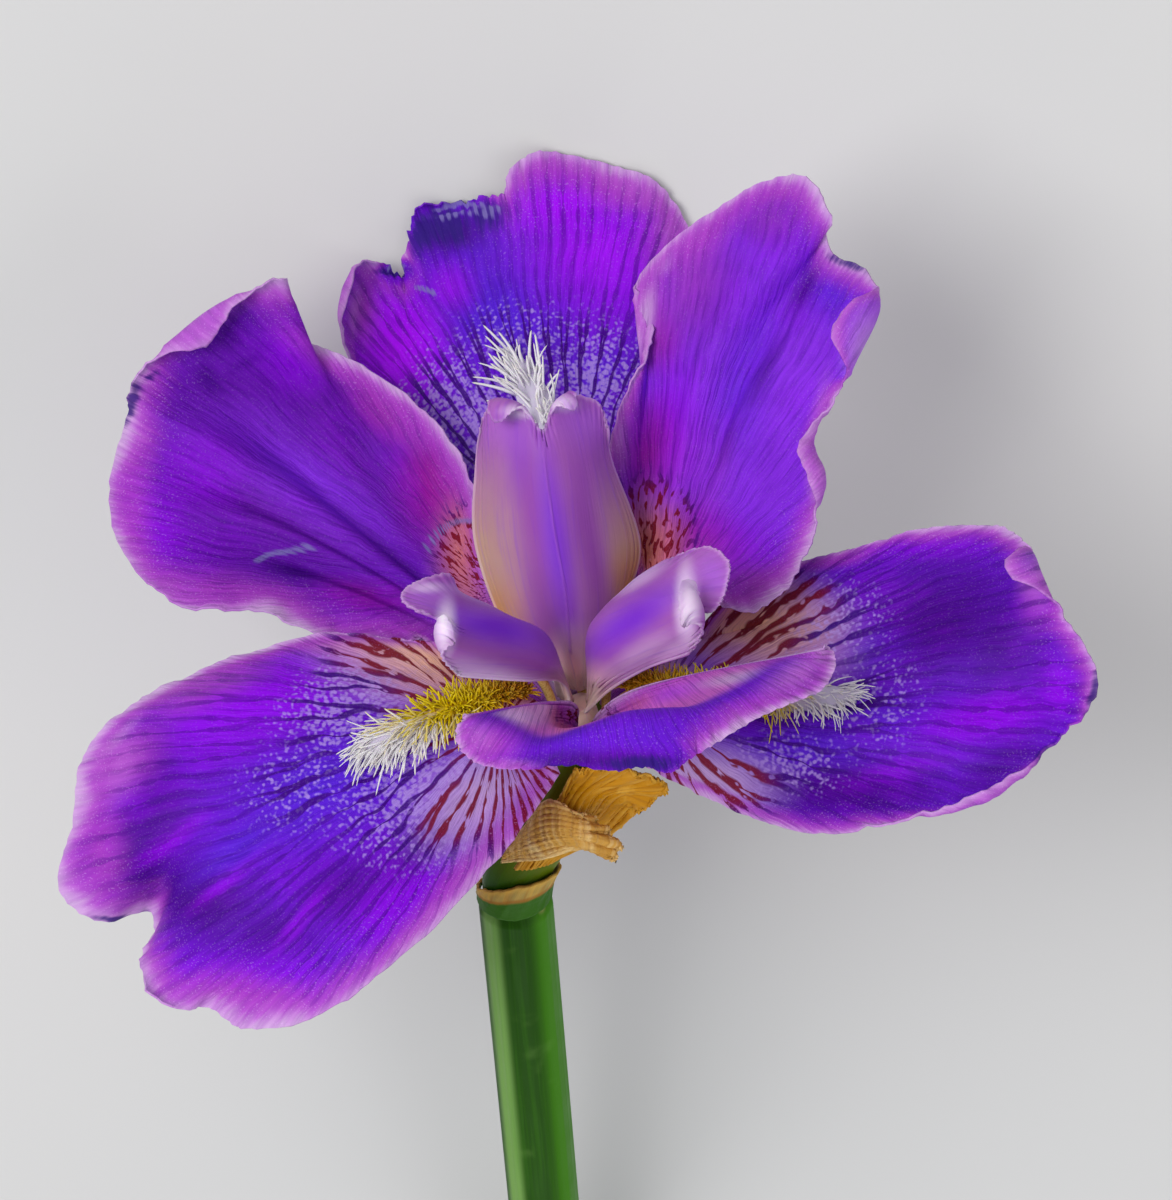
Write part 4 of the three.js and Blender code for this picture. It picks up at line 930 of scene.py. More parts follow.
# Colour spots on the picture: a colour's name, then soft ellipses, each with x, y, half width, half
# height, turn in degrees and strength.
TINTS = {
    "fall_left": [
        ("violet", [(300, 800, 400, 400, 0, 1.0)]),
        ("magenta", [(250, 700, 190, 80, -20, 0.75), (140, 810, 70, 120, 15, 0.5),
                     (250, 985, 150, 60, 0, 0.6), (400, 900, 110, 80, -40, 0.6)]),
        ("deep", [(130, 860, 80, 80, 10, 1.0), (200, 900, 110, 70, 20, 1.0), (270, 930, 80, 40, 0, 0.8),
                  (150, 770, 60, 70, 0, 0.7), (340, 890, 90, 44, -30, 0.8), (420, 850, 90, 34, -35, 0.7)]),
        ("magenta", [(170, 840, 70, 16, -35, 0.8), (230, 880, 70, 12, -40, 0.7),
                     (300, 920, 70, 12, -50, 0.6)]),
        ("blue", [(320, 790, 140, 80, -25, 1.0), (250, 840, 110, 36, -35, 0.8)]),
        ("mauve", [(105, 850, 40, 80, 5, 0.9), (125, 760, 80, 50, -50, 0.8), (210, 685, 120, 34, -25, 0.8),
                   (330, 645, 90, 20, 0, 0.7), (250, 1000, 120, 36, 5, 0.8), (460, 880, 70, 26, -45, 0.8)]),
        ("rim", [(110, 770, 40, 60, 30, 0.7), (200, 670, 90, 18, -28, 0.8), (320, 632, 90, 12, -8, 0.8),
                 (430, 925, 90, 18, -42, 0.9)]),
        ("frost", [(440, 930, 110, 12, -42, 0.7), (110, 745, 60, 12, -45, 0.5),
                   (200, 664, 90, 8, -26, 0.6)]),
        ("deep", [(160, 820, 70, 36, -30, 0.8)]),
        ("cream", [(455, 655, 190, 84, 8, 1.0), (520, 700, 70, 70, 0, 1.0)]),
        ("frost", [(485, 800, 110, 80, -25, 1.0), (540, 780, 60, 60, 0, 0.9)]),
        ("orange", [(525, 684, 66, 30, 0, 0.9)]),
    ],
    "fall_right": [
        ("violet", [(900, 690, 400, 400, 0, 1.0)]),
        ("deep", [(940, 620, 160, 110, 0, 1.0), (850, 790, 150, 60, 0, 1.0), (1000, 640, 100, 100, 0, 0.9),
                  (1000, 770, 80, 40, -30, 0.7)]),
        ("blue", [(810, 745, 110, 40, 0, 0.7), (860, 650, 70, 40, 0, 0.6), (880, 720, 80, 40, 0, 0.5)]),
        ("magenta", [(990, 718, 120, 36, -12, 0.75), (900, 770, 110, 20, -15, 0.4),
                     (930, 545, 110, 24, 0, 0.5), (1060, 690, 40, 50, 0, 0.7)]),
        ("mauve", [(1040, 600, 30, 46, 0, 0.8), (900, 530, 110, 14, -5, 0.8), (840, 560, 60, 14, -10, 0.8)]),
        ("rim", [(1042, 584, 30, 34, 0, 0.9)]),
        ("cream", [(745, 615, 150, 84, 20, 1.0), (640, 690, 90, 60, 0, 1.0)]),
        ("frost", [(705, 778, 110, 56, 10, 0.9)]),
        ("orange", [(620, 690, 50, 34, 0, 0.9)]),
    ],
    "fall_back": [
        ("violet", [(520, 330, 400, 400, 0, 1.0)]),
        ("blue", [(500, 320, 130, 100, 0, 1.0), (590, 380, 80, 70, 0, 0.7), (470, 240, 70, 50, 0, 0.6)]),
        # Painted light: sunlit parts of the back fall
        ("sunlit_violet", [(395, 345, 80, 100, 0, 1.0), (600, 250, 120, 100, 0, 0.6), (560, 200, 110, 70, 0, 0.7),
                  (450, 290, 40, 40, 0, 0.5)]),
        ("mauve", [(620, 180, 110, 44, 22, 1.0), (665, 240, 44, 70, 0, 0.9), (362, 310, 26, 60, 0, 0.9),
                   (545, 165, 60, 30, 0, 0.9)]),
        ("rim", [(640, 185, 90, 24, 30, 0.9), (675, 235, 26, 60, -10, 0.8), (560, 155, 60, 16, 5, 0.7),
                 (352, 310, 14, 50, 5, 0.8)]),
        ("deep", [(455, 235, 60, 30, -10, 0.9), (640, 430, 40, 90, 0, 0.7), (400, 430, 50, 60, 30, 0.6)]),
    ],
    "standard_left": [
        ("plum", [(280, 460, 400, 400, 0, 1.0)]),
        # Painted light: bright violet along the valley, lifting its shade
        ("bright", [(300, 480, 170, 50, 35, 0.9), (240, 430, 110, 50, 10, 0.5)]),
        ("magenta", [(200, 470, 80, 60, 0, 0.5), (300, 350, 60, 60, 30, 0.8), (150, 530, 60, 70, 0, 0.5)]),
        ("pink", [(440, 480, 66, 100, 0, 1.0), (395, 410, 90, 44, 40, 0.8), (370, 600, 90, 30, 10, 0.6)]),
        ("mauve", [(340, 360, 120, 30, 32, 0.9), (405, 410, 100, 44, 42, 0.9), (455, 460, 36, 70, 0, 0.7),
                   (200, 590, 160, 34, 8, 0.95), (132, 500, 34, 100, 0, 0.9), (400, 630, 90, 20, 3, 0.9)]),
        ("rim", [(210, 310, 110, 24, -36, 0.9), (150, 590, 80, 22, 10, 0.7), (250, 608, 100, 8, 4, 0.6)]),
        # Painted shade: deep violet in a groove, in the dent under a scar and along a fold
        ("deep", [(208, 380, 30, 18, 50, 0.9), (292, 574, 46, 18, 14, 1.0), (245, 362, 50, 8, -38, 0.5)]),
        ("salmon", [(474, 556, 56, 90, 0, 1.0)]),
        ("orange", [(492, 590, 40, 50, 0, 0.8)]),
    ],
    "standard_right": [
        ("bright", [(740, 400, 400, 400, 0, 1.0)]),
        ("blue", [(745, 390, 44, 150, 12, 0.5), (840, 290, 50, 60, 0, 0.7)]),
        ("magenta", [(670, 430, 50, 100, 10, 0.8), (780, 220, 60, 70, 0, 0.4), (720, 560, 90, 50, 0, 0.7)]),
        ("plum", [(780, 210, 80, 60, 0, 0.6), (700, 290, 70, 110, 14, 0.6)]),
        ("pink", [(648, 450, 50, 80, 0, 0.8), (660, 340, 34, 50, 0, 0.6), (690, 540, 70, 60, 0, 0.8)]),
        ("mauve", [(690, 280, 56, 90, 22, 0.55), (770, 215, 60, 40, 0, 0.4)]),
        ("mauve", [(648, 310, 26, 90, 5, 0.95), (700, 235, 90, 34, -38, 0.9), (750, 603, 60, 14, 0, 0.9),
                   (775, 190, 60, 16, 0, 0.8), (628, 400, 18, 90, 0, 0.8)]),
        ("rim", [(822, 450, 18, 100, 5, 0.9), (620, 430, 12, 70, 0, 0.9),
                 (640, 300, 14, 60, 0, 0.9), (700, 225, 80, 10, -38, 0.7)]),
        ("pale", [(864, 350, 26, 54, 10, 0.8)]),
        # Thin pale margins with painted highlights on the left fold; below, painted shade in the grooves and
        # painted highlights on the fold
        ("frost", [(617, 425, 8, 40, 0, 0.9), (640, 330, 10, 60, 8, 0.5), (820, 470, 8, 90, 4, 0.6)]),
        ("deep", [(808, 285, 18, 56, 25, 0.9), (768, 372, 12, 70, 27, 0.6), (730, 445, 10, 50, 16, 0.5)]),
        ("frost", [(648, 318, 12, 56, 8, 0.6), (662, 262, 14, 26, 40, 0.5)]),
        # Painted light: mauve on the shaded lower half of the standard
        ("mauve", [(755, 585, 80, 36, 0, 0.8), (700, 565, 80, 50, 0, 0.6), (700, 470, 60, 80, 10, 0.35)]),
        ("salmon", [(646, 552, 58, 86, 0, 1.0)]),
    ],
    "standard_front": [
        ("violet", [(640, 720, 400, 400, 0, 1.0)]),
        ("blue", [(600, 735, 110, 30, 0, 0.6)]),
        ("deep", [(600, 760, 120, 18, 0, 0.9), (720, 742, 60, 20, -25, 0.5)]),
        ("mauve", [(760, 705, 60, 24, -30, 0.7), (490, 745, 50, 34, 0, 1.0)]),
        ("rim", [(800, 675, 60, 26, -30, 0.9), (470, 742, 36, 30, 0, 0.9), (505, 764, 50, 10, 0, 0.8)]),
        ("frost", [(824, 655, 18, 16, 0, 0.9), (490, 768, 40, 6, 0, 0.8)]),
    ],
}
# The inner face of the folded standard, above its crest
WING_TINTS = [
    ("wing", [(640, 710, 400, 400, 0, 1.0)]),
    ("magenta", [(670, 694, 60, 16, -12, 0.5)]),
    ("frost", [(740, 680, 60, 10, -10, 0.9)]),
    # Pearl: the pale inner lobe, lightened as painted light against its shade
    ("pearl", [(505, 718, 70, 18, 0, 1.0), (550, 712, 40, 20, 0, 0.8)]),
    ("salmon", [(625, 702, 44, 16, -10, 0.9), (565, 716, 26, 28, 0, 1.0)]),
    ("orange", [(602, 710, 28, 18, 0, 0.9), (575, 707, 18, 14, 0, 1.0)]),
]
MOTTLES = {
    "fall_left": [(430, 790, 150, 110, -20, 1.0), (360, 710, 130, 70, -15, 1.0), (300, 790, 100, 70, 0, 0.5),
                  (370, 680, 110, 50, -10, 0.9), (520, 800, 90, 80, 0, 0.9)],
    "fall_right": [(820, 620, 110, 66, 0, 0.7), (780, 765, 110, 50, 0, 0.75), (870, 700, 90, 80, 0, 0.5)],
    "fall_back": [(470, 420, 110, 120, 0, 1.0), (590, 390, 90, 110, 0, 1.0), (520, 350, 120, 80, 0, 0.6)],
}
CLAWS = {
    "fall_left": [(470, 700, 150, 120, 0, 1.0), (530, 790, 120, 100, -40, 1.0), (400, 655, 120, 46, 0, 1.0),
                  (460, 810, 90, 60, -30, 0.9)],
    "fall_right": [(740, 630, 120, 90, 0, 1.0), (790, 600, 90, 46, 0, 0.9), (715, 775, 110, 60, 15, 1.0)],
    "fall_back": [(545, 500, 130, 110, 0, 1.0)],
    "standard_left": [(470, 556, 60, 84, 0, 1.0)],
    "standard_right": [(652, 530, 74, 92, 0, 1.0)],
    "standard_front": [(584, 712, 50, 20, 0, 1.0)],
}
WITHERED = {
    "fall_left": [(146, 922, 12, 26, 0, 1.0), (112, 918, 34, 6, 0, 0.9)],
    "fall_right": [(1094, 695, 10, 50, 15, 0.9), (1050, 752, 44, 12, -35, 0.9)],
    "fall_back": [(444, 226, 52, 40, -8, 1.0), (486, 212, 54, 36, 0, 0.8), (424, 230, 28, 46, 10, 1.0),
                  (392, 270, 34, 10, 0, 1.0)],
    "standard_left": [(130, 402, 14, 44, 18, 1.0), (150, 376, 20, 8, -30, 0.8)],
    "standard_right": [(850, 262, 42, 12, 20, 0.9)],
    "standard_front": [(640, 764, 70, 18, 0, 1.0), (560, 768, 40, 8, 0, 0.8)],
}
# Dry scars: lines on the picture and their half widths
SCARS = {
    "fall_back": [([(418, 288), (427, 290), (437, 295)], 3.5), ([(436, 208), (462, 200), (502, 210)], 6),
                  ([(440, 217), (470, 211), (496, 217)], 5), ([(388, 264), (398, 262), (406, 266)], 3)],
    "standard_left": [([(256, 563), (272, 554), (292, 550), (312, 546)], 4.5),
                      ([(427, 549), (440, 533), (458, 522), (478, 521)], 3.5)],
}
# Where the margin stays dark, and how narrow the pale margin of each petal is
DARK_MARGINS = {
    "standard_front": [(610, 762, 130, 30, 0, 1.0)],
    "fall_right": [(1060, 740, 60, 60, -35, 0.5)],
    "fall_back": [(445, 215, 84, 60, 0, 1.0), (396, 270, 26, 20, 0, 1.0)],
    "standard_right": [(866, 345, 34, 66, 10, 0.7)],
}
MARGINS = {"fall_left": 0.8, "fall_right": 1.7, "fall_back": 0.9, "standard_left": 1.0,
           "standard_right": 1.3, "standard_front": 1.5}
# Centres of the vein fans on the picture, left and right of the beard's own line seen from the heart
FANS = {
    "fall_left": dict(centres=[(506, 750), (482, 696)], line=[(530, 698), (355, 770)], spread=1.05),
    "fall_right": dict(centres=[(664, 676), (650, 736)], line=[(600, 700), (860, 700)]),
    "fall_back": dict(centres=[(556, 560), (556, 560)], line=[(556, 560), (535, 360)], spread=1.0),
    "standard_left": dict(centres=[(502, 606), (502, 606)], line=[(492, 600), (250, 440)], spread=0.9),
    "standard_right": dict(centres=[(645, 640), (645, 640)], line=[(645, 620), (760, 300)]),
    "standard_front": dict(centres=[(585, 590), (585, 590)], line=[(585, 680), (620, 800)]),
}
# Half the width in pixels over which the fan's centre moves from one side to the other
FAN_BLEND = 130.0
# Pale scar near the top of the stem
STEM_SPOT = (541, 905, 6, 11, 0, 1.2)


def petal_grid(rows, margin_rows, columns):
    """Grid over a petal with its own rows for the margin that turns over."""
    a = np.concatenate([np.linspace(0, BAND, rows), np.linspace(BAND, 1, margin_rows + 1)[1:]])
    return np.meshgrid(a, np.linspace(0, 1, columns), indexing="ij")


def upper_normals(points, side):
    """Normals of a grid of points on the petal's upper face."""
    return unit(np.cross(np.gradient(points, axis=0), np.gradient(points, axis=1))) * side


def margin_distance(points):
    """Millimetres to the nearest free margin: the end of the rows or one of their sides."""
    across, along = run_length(points, 1), run_length(points, 0)
    sides = np.minimum(across, across[:, -1:] - across)
    return np.minimum(along[-1:] - along, sides)


def thinned(edge, thin, thick, reach):
    """Thickness at a distance from the margin: thin on it, and thick from reach on."""
    return thin + (thick - thin) * ease(edge, 0, reach)


def frilled(points, side, v, seed, waves, high, cut):
    """Petal with a finely frilled and uneven margin. Near it the blade is raised by an irregular
    wave along the margin; closer to it the blade is drawn in by a finer wave, as deep as cut."""
    edge = margin_distance(points)
    normals = upper_normals(points, side)
    inward = -unit(np.gradient(points, axis=0))
    raised = high * (1 - ease(edge, 0, FRILL_REACH)) ** 2 * wander(v * waves, seed)
    drawn = cut * (1 - ease(edge, 0, NOTCH_REACH)) * (0.5 + 0.5 * wander(v * waves * 2.7, seed + 1, 4))
    moved = points + normals * raised[..., None] + inward * drawn[..., None]
    return moved, upper_normals(moved, side), edge


def painted(base, tints, colours, pixel):
    """Base colour covered in turn by soft spots of the named colours."""
    tint = np.array(base)
    for key, places in tints:
        tint = covered(tint, spots(places, pixel), getattr(colours, key))
    return tint


def fan_map(name, pixel):
    """Map of the veins: angle round the fan's centre over ten, and distance in tenths of a metre.
    The centre moves from one side of the beard's line to the other over FAN_BLEND pixels."""
    fan = FANS[name]
    start, end = np.array(fan["line"], float)
    way = unit(end - start)
    sideways = np.array([-way[1], way[0]])
    share = ease((pixel - start) @ sideways, -FAN_BLEND, FAN_BLEND)[..., None]
    right, left = np.array(fan["centres"], float)
    away = pixel - (right * (1 - share) + left * share)
    angle = np.arctan2(away @ sideways, away @ way) * fan.get("spread", 1)
    return angle * 0.1, np.hypot(*np.moveaxis(away, -1, 0)) * PIXEL * TENTHS


def petal_map(points):
    """Map of an arm or bract in tenths of a metre: across its middle row, and along its run."""
    across = run_length(points, 1)[MAP_ROW]
    return np.broadcast_to(across[None], points.shape[:2]) * TENTHS, run_length(points, 0) * TENTHS


def make_petal(name, colours, material, seed):
    """Blade through the petal's rows, frilled, painted by its spots and given its material."""
    petal = PETALS[name]
    folded = name == "standard_front"
    side = petal.get("side", 1)
    a, v = petal_grid(*PETAL_GRID)
    plain = petal_point(petal, a, v)
    pixel = pixels(plain)
    torn = spots(WITHERED[name], pixel)
    # Depth of the notches: the withered corner of the back fall is torn
    cut = 0.25 + 1.5 * torn * (name == "fall_back")
    points, normals, edge = frilled(plain, side, v, seed, PETAL_WAVES, colours.frill * METRE, cut)
    thick = thinned(edge, colours.margin, colours.thickness, 4.0) * METRE
    pale_back = 0.0 if folded else PALE_BACK
    piece = make_blade(name + "_petal", points, normals, thick, fan_map(name, pixel), pale_back)
    tint = painted(colours.violet, TINTS[name], colours, pixel)
    if folded:
        wing = painted(colours.mauve, WING_TINTS, colours, pixel)
        tint = covered(tint, 1 - ease(a / BAND, 0.70, 0.80), wing)
    give_tint(piece, tint)
    scar = sum((line_share(line, pixel, wide) for line, wide in SCARS.get(name, [])), np.zeros(v.shape))
    dark = spots(DARK_MARGINS.get(name, []), pixel)
    fields = {"margin": edge / MARGIN_REACH * MARGINS[name] + dark, "claw": spots(CLAWS[name], pixel),
              "mottle": spots(MOTTLES.get(name, []), pixel), "withered": torn, "scar": scar}
    for key, field in fields.items():
        give_attribute(piece, key, both_sides(field))
    stand_for(piece, [name], material)


def petal_material(name, colours, roughness, spotted):
    """Petal skin: painted zones, forked veins, pale flecks, lilac margin, withered places and painted
    glints.
    A spotted claw has short dashes and dots in place of whole veins."""
    material, tree = new_material(name, roughness, 0.06)
    claw, mottle, margin = tree.field("claw"), tree.field("mottle"), tree.field("margin")
    withered = tree.field("withered")
    count = STANDARD_VEINS if spotted else FALL_VEINS
    veins = veins_of(tree, count, 0.13 + claw * (0.05 if spotted else 0.22))
    skin = skin_of(tree)
    ribs, streaks, dots, cloud = veins["Ribs"], veins["Streaks"], veins["Dots"], skin["Cloud"]
    flecks = mottle.steps(0.0, 0.3) * (skin["Flecks"] + mottle * 0.30).steps(0.60, 0.86) * 0.66
    edge = margin + (streaks - 0.5) * 0.22 + (cloud - 0.5) * 0.5
    faint = cloud.steps(0.35, 0.6, 0.4, 1.0) * (0.5 if spotted else 1.0)
    faint = margin.steps(0.0, 0.6, 0.2, 0.55) * faint
    strength = tree.most(claw.steps(0.0, 0.4, 0.0, 0.95), mottle.steps(0.0, 0.5, 0.0, 0.95), faint)
    near = claw.steps(0.1, 0.5)
    if spotted:
        lines = veins["Veins"] * (1.0 - near) + dots.steps(0.52, 0.58) * near
    else:
        lines = veins["Veins"] * tree.most(dots.steps(0.33, 0.42), 1.0 - near)
    dry = withered + (streaks - 0.5) * 1.3
    striped = tree.most(ribs.steps(1.0, 0.0, 0.3, 1.0), 1.0 - withered)
    base = tree.layers(
        tree.tint(),
        (cloud.steps(0.48, 0.7, 0.0, 0.22), colours.magenta),
        (cloud.steps(0.46, 0.28, 0.0, 0.15), colours.deep),
        (streaks.steps(0.52, 0.32, 0.0, 0.5), colours.streak, "MULTIPLY"),
        (flecks * claw.steps(0.2, 0.9, 1.0, 0.15), colours.pale),
        (edge.steps(0.1, 0.6, 0.85, 0.0), colours.mauve),
        (edge.steps(-0.02, 0.32, 0.9, 0.0), colours.rim),
        (edge.steps(-0.10, 0.18, 0.9, 0.0), colours.frost),
        (tree.field("underside"), colours.rim),
        (strength * lines, tree.blend(claw.steps(0.2, 0.7), colours.vein_dark, colours.vein_red)),
        (ribs * 0.16, colours.rib, "MULTIPLY"),
        # Painted glints on the petal, fewer away from the margin
        (skin["Sparkle"] * margin.steps(0.1, 1.2, 0.24, 0.04), colours.sparkle),
        (dry.steps(0.15, 0.9, 0.0, 0.9), colours.withered),
        ((tree.field("scar") * striped).steps(0.1, 0.7, 0.0, 0.8), colours.grey))
    tree.dress(base, skin["Sparkle"].steps(0.0, 1.0, roughness, roughness - 0.15),
               (veins["Veins"], -0.35, 0.0003), (streaks, 0.5, 0.0005), (skin["Pucker"], 0.3, 0.0004),
               (skin["Sparkle"], 0.25, 0.00005))
    return material


class IRIS_OT_falls(bpy.types.Operator):
    """Three broad falls with veined claws"""
    bl_idname = "iris.falls"
    bl_label = "Falls"

    def execute(self, context):
        colours = context.scene.iris_petals
        material = petal_material("fall_petal", colours, 0.5, False)
        for seed, name in enumerate(("fall_back", "fall_left", "fall_right"), FALL_SEED):
            make_petal(name, colours, material, seed)
        return {"FINISHED"}


class IRIS_OT_standards(bpy.types.Operator):
    """Two raised standards and the one folded over in front"""
    bl_idname = "iris.standards"
    bl_label = "Standards"

    def execute(self, context):
        colours = context.scene.iris_petals
        material = petal_material("standard_petal", colours, 0.48, True)
        for seed, name in enumerate(("standard_left", "standard_right", "standard_front"), STANDARD_SEED):
            make_petal(name, colours, material, seed)
        return {"FINISHED"}


STYLE_TINTS = {
    "style_back": [
        ("cream", [(484, 570, 66, 170, 0, 1.0), (640, 560, 76, 170, 0, 1.0)]),
        ("orange", [(490, 620, 56, 60, 0, 0.9), (634, 590, 50, 60, 0, 0.9)]),
        ("magenta", [(534, 520, 24, 190, -6, 0.5), (592, 560, 24, 150, -10, 0.7)]),
        ("violet", [(556, 540, 22, 160, -8, 0.85), (520, 450, 24, 70, 0, 0.3)]),
        # Foot: cream-pink where the arms meet, lightened as painted light in their shade
        ("foot", [(574, 676, 44, 66, 0, 1.0)]),
        ("lilac", [(510, 430, 50, 34, 0, 0.5), (580, 420, 50, 44, 0, 0.7)]),
        ("white", [(520, 412, 26, 10, 0, 0.7), (560, 404, 24, 12, 0, 0.7)]),
    ],
    "style_left": [
        ("violet", [(490, 628, 90, 28, 14, 1.0)]),
        ("white", [(445, 625, 14, 46, 0, 0.95), (510, 690, 110, 34, 16, 1.0), (470, 680, 60, 22, 12, 0.9)]),
        # Foot: cream-pink where the arms meet, lightened as painted light in their shade
        ("foot", [(572, 694, 46, 44, 0, 1.0)]),
        ("lilac", [(425, 595, 40, 26, 0, 0.8)]),
        ("white", [(480, 598, 50, 12, 20, 0.5), (425, 588, 30, 10, 0, 0.5)]),
    ],
    "style_right": [
        ("violet", [(632, 622, 92, 26, -36, 1.0)]),
        ("white", [(630, 684, 90, 36, -42, 0.9), (665, 656, 60, 18, -30, 0.9)]),
        # Foot: cream-pink where the arms meet, lightened as painted light in their shade
        ("foot", [(594, 698, 46, 46, 0, 1.0)]),
        ("white", [(688, 605, 16, 60, 0, 0.95), (640, 580, 50, 14, -30, 0.5)]),
        ("lilac", [(714, 576, 30, 36, 0, 0.9)]),
    ],
}
# Midrib of the back arm, from its crest to the heart
MIDRIB = [(543, 425), (545, 460), (550, 500), (556, 540), (565, 590), (571, 650)]
MIDRIB_WIDTH = 2.0


def style_material(colours):
    """Satin style arm: painted bands, a pale midrib and edge line, and faint lengthwise veins."""
    material, tree = new_material("style_arm", 0.42, 0.15, 0.35)
    skin, fibres, midrib = skin_of(tree), fibres_of(tree, 160.0, 8.0), tree.field("midrib")
    base = tree.layers(
        tree.tint(),
        (fibres["Fibres"].steps(0.5, 0.75, 0.0, 0.25), colours.violet),
        (skin["Cloud"].steps(0.35, 0.7, 0.0, 0.2), colours.magenta),
        (midrib * 0.6, colours.lilac),
        (tree.field("margin").steps(0.0, 0.06, 0.2, 0.0), colours.white))
    tree.dress(base, skin["Sparkle"].steps(0.0, 1.0, 0.45, 0.34), (fibres["Fibres"], 0.2, 0.0003),
               (midrib, 0.5, 0.0004), (skin["Pucker"], 0.15, 0.0002))
    return material


class IRIS_OT_style_arms(bpy.types.Operator):
    """Three style arms with curled crests, and the column that carries them"""
    bl_idname = "iris.style_arms"
    bl_label = "Style arms"

    def execute(self, context):
        colours = context.scene.iris_styles
        material = style_material(colours)
        for seed, name in enumerate(STYLE_TINTS, ARM_SEED):
            petal = PETALS[name]
            back = name == "style_back"
            a, v = petal_grid(*ARM_GRID)
            plain = petal_point(petal, a, v)
            pixel = pixels(plain)
            crest = 1 - ease(np.abs(v - 0.5), 0.30, 0.36) if back else np.ones(v.shape)
            side = petal.get("side", 1)
            points, normals, edge = frilled(plain, side, v, seed, ARM_WAVES, 0.15, 0.38 * crest)
            thick = thinned(edge, 0.3, 0.65, 3)
            piece = make_blade(name + "_arm", points, normals, thick, petal_map(points))
            give_tint(piece, painted(colours.base, STYLE_TINTS[name], colours, pixel))
            give_attribute(piece, "margin", both_sides(edge / MARGIN_REACH))
            give_attribute(piece, "midrib", both_sides(line_share(MIDRIB, pixel, MIDRIB_WIDTH) * back))
            stand_for(piece, [name], material)
        rows, sides = COLUMN_GRID
        t = np.linspace(0, 1, rows)
        path = smooth_line(np.array([PETAL_START, -0.6, 0.6, 1.6])[:, None] * AXIS, t)
        shares = smooth_line(np.array([1, 1, 0.9, 0.75])[:, None], t)[:, 0]
        column = make_tube("style_column_stub", path, shares * COLUMN_RADIUS, sides)
        # Pale tan of the column, lightened as painted light for its shade
        give_tint(column, colours.column)
        count = len(column.data.vertices)
        give_attribute(column, "margin", np.ones(count))
        give_attribute(column, "midrib", np.zeros(count))
        stand_for(column, ["style_column"], material)
        return {"FINISHED"}


def make_tube(name, path, radii, sides, shape=None):
    """Round body along a path: turned circles of the given radii, its ends closed by a point.
    shape gives a factor on the radius from the row and the angle."""
    way = unit(np.gradient(path, axis=0))
    across = np.cross(way[0], TUBE_HINT)
    frames = []
    for w in way:
        across = unit(across - w * (across @ w))
        frames.append(across)
    frames = np.array(frames)
    other = np.cross(way, frames)
    rows = len(path)
    angle = np.linspace(0, 2 * np.pi, sides, endpoint=False)
    factor = np.ones((rows, sides)) if shape is None else shape(np.arange(rows)[:, None], angle[None])
    r = radii[:, None] * factor
    body = (path[:, None] + frames[:, None] * (r * np.cos(angle))[..., None]
            + other[:, None] * (r * np.sin(angle))[..., None]).reshape(-1, 3)
    points = np.concatenate([body, path[:1], path[-1:]])
    count = rows * sides
    skin = halves(grid_faces(rows, sides, wrap=True))
    faces = np.concatenate([skin, end_caps(rows, sides, count, count + 1)])
    piece = make_mesh(name, points, outward(points, faces))
    girth = np.abs(angle / np.pi - 1) * np.pi * radii.mean() * TENTHS
    run = run_length(path[:, None], 0) * TENTHS
    uv = np.stack(np.broadcast_arrays(girth[None], run), -1).reshape(-1, 2)
    give_uv(piece, np.concatenate([uv, [[0.0, 0.0], [0.0, 0.0]]]))
    return piece


class IRIS_OT_stamens(bpy.types.Operator):
    """Three stamens under the style arms: thread and pollen sac"""
    bl_idname = "iris.stamens"
    bl_label = "Stamens"

    def execute(self, context):
        colours = context.scene.iris_styles
        material, tree = new_material("pollen", 0.7)
        grains = tree.noise(tree.place(), 4000.0, 2.0)
        tree.dress(tree.blend(grains.steps(0.4, 0.7), colours.pollen, colours.pollen_dark),
                   grains.steps(0.3, 0.7, 0.6, 0.8), (grains, 0.5, 0.0001))
        rows, sides = STAMEN_GRID
        shape = smooth_line(STAMEN, np.linspace(0, 1, rows))
        lobes = lambda row, angle: 1 + 0.12 * np.cos(4 * angle) * ease(row, 30, 38)
        for name, degrees in (("stamen_back", 90), ("stamen_left", 210), ("stamen_right", 330)):
            path = ring(np.full(rows, degrees), shape[:, 0], shape[:, 1])
            piece = make_tube(name + "_sac", path, shape[:, 2], sides, lobes)
            stand_for(piece, [name], material)
        return {"FINISHED"}


# Beards: the fall, the place along the path where the white strip begins, the length of the last
# hairs, between which places they turn white, the way they are pulled, how many and how stout they
# are, how much sooner the lower side turns white, and the path (along and across the fall).
BEARDS = {
    "left": dict(fall="fall_left", split=0.6, tuft=3.3, whitens=(0.62, 0.82), pull=(-0.1, -1.0, 0.1),
                 share=1.0, stout=1.1, low=0.2,
                 path=[(0.20, 0.44), (0.26, 0.50), (0.33, 0.535), (0.40, 0.535), (0.46, 0.52)]),
    "right": dict(fall="fall_right", split=0.6, tuft=2.7, whitens=(0.72, 0.88), pull=(0.1, -1.0, 0.1),
                  share=0.8, stout=0.9, low=0.0,
                  path=[(0.20, 0.44), (0.28, 0.50), (0.36, 0.52), (0.44, 0.52), (0.52, 0.50)]),
    "back": dict(fall="fall_back", split=0.66, tuft=3.7, whitens=(0.42, 0.62), pull=(-0.5, 0.4, 0.2),
                 share=0.24, stout=1.5, low=0.0,
                 path=[(0.24, 0.48), (0.34, 0.49), (0.44, 0.495), (0.52, 0.49), (0.57, 0.475)]),
}
BEARD_WIDTH = 0.05
BEARD_STEP = 0.01


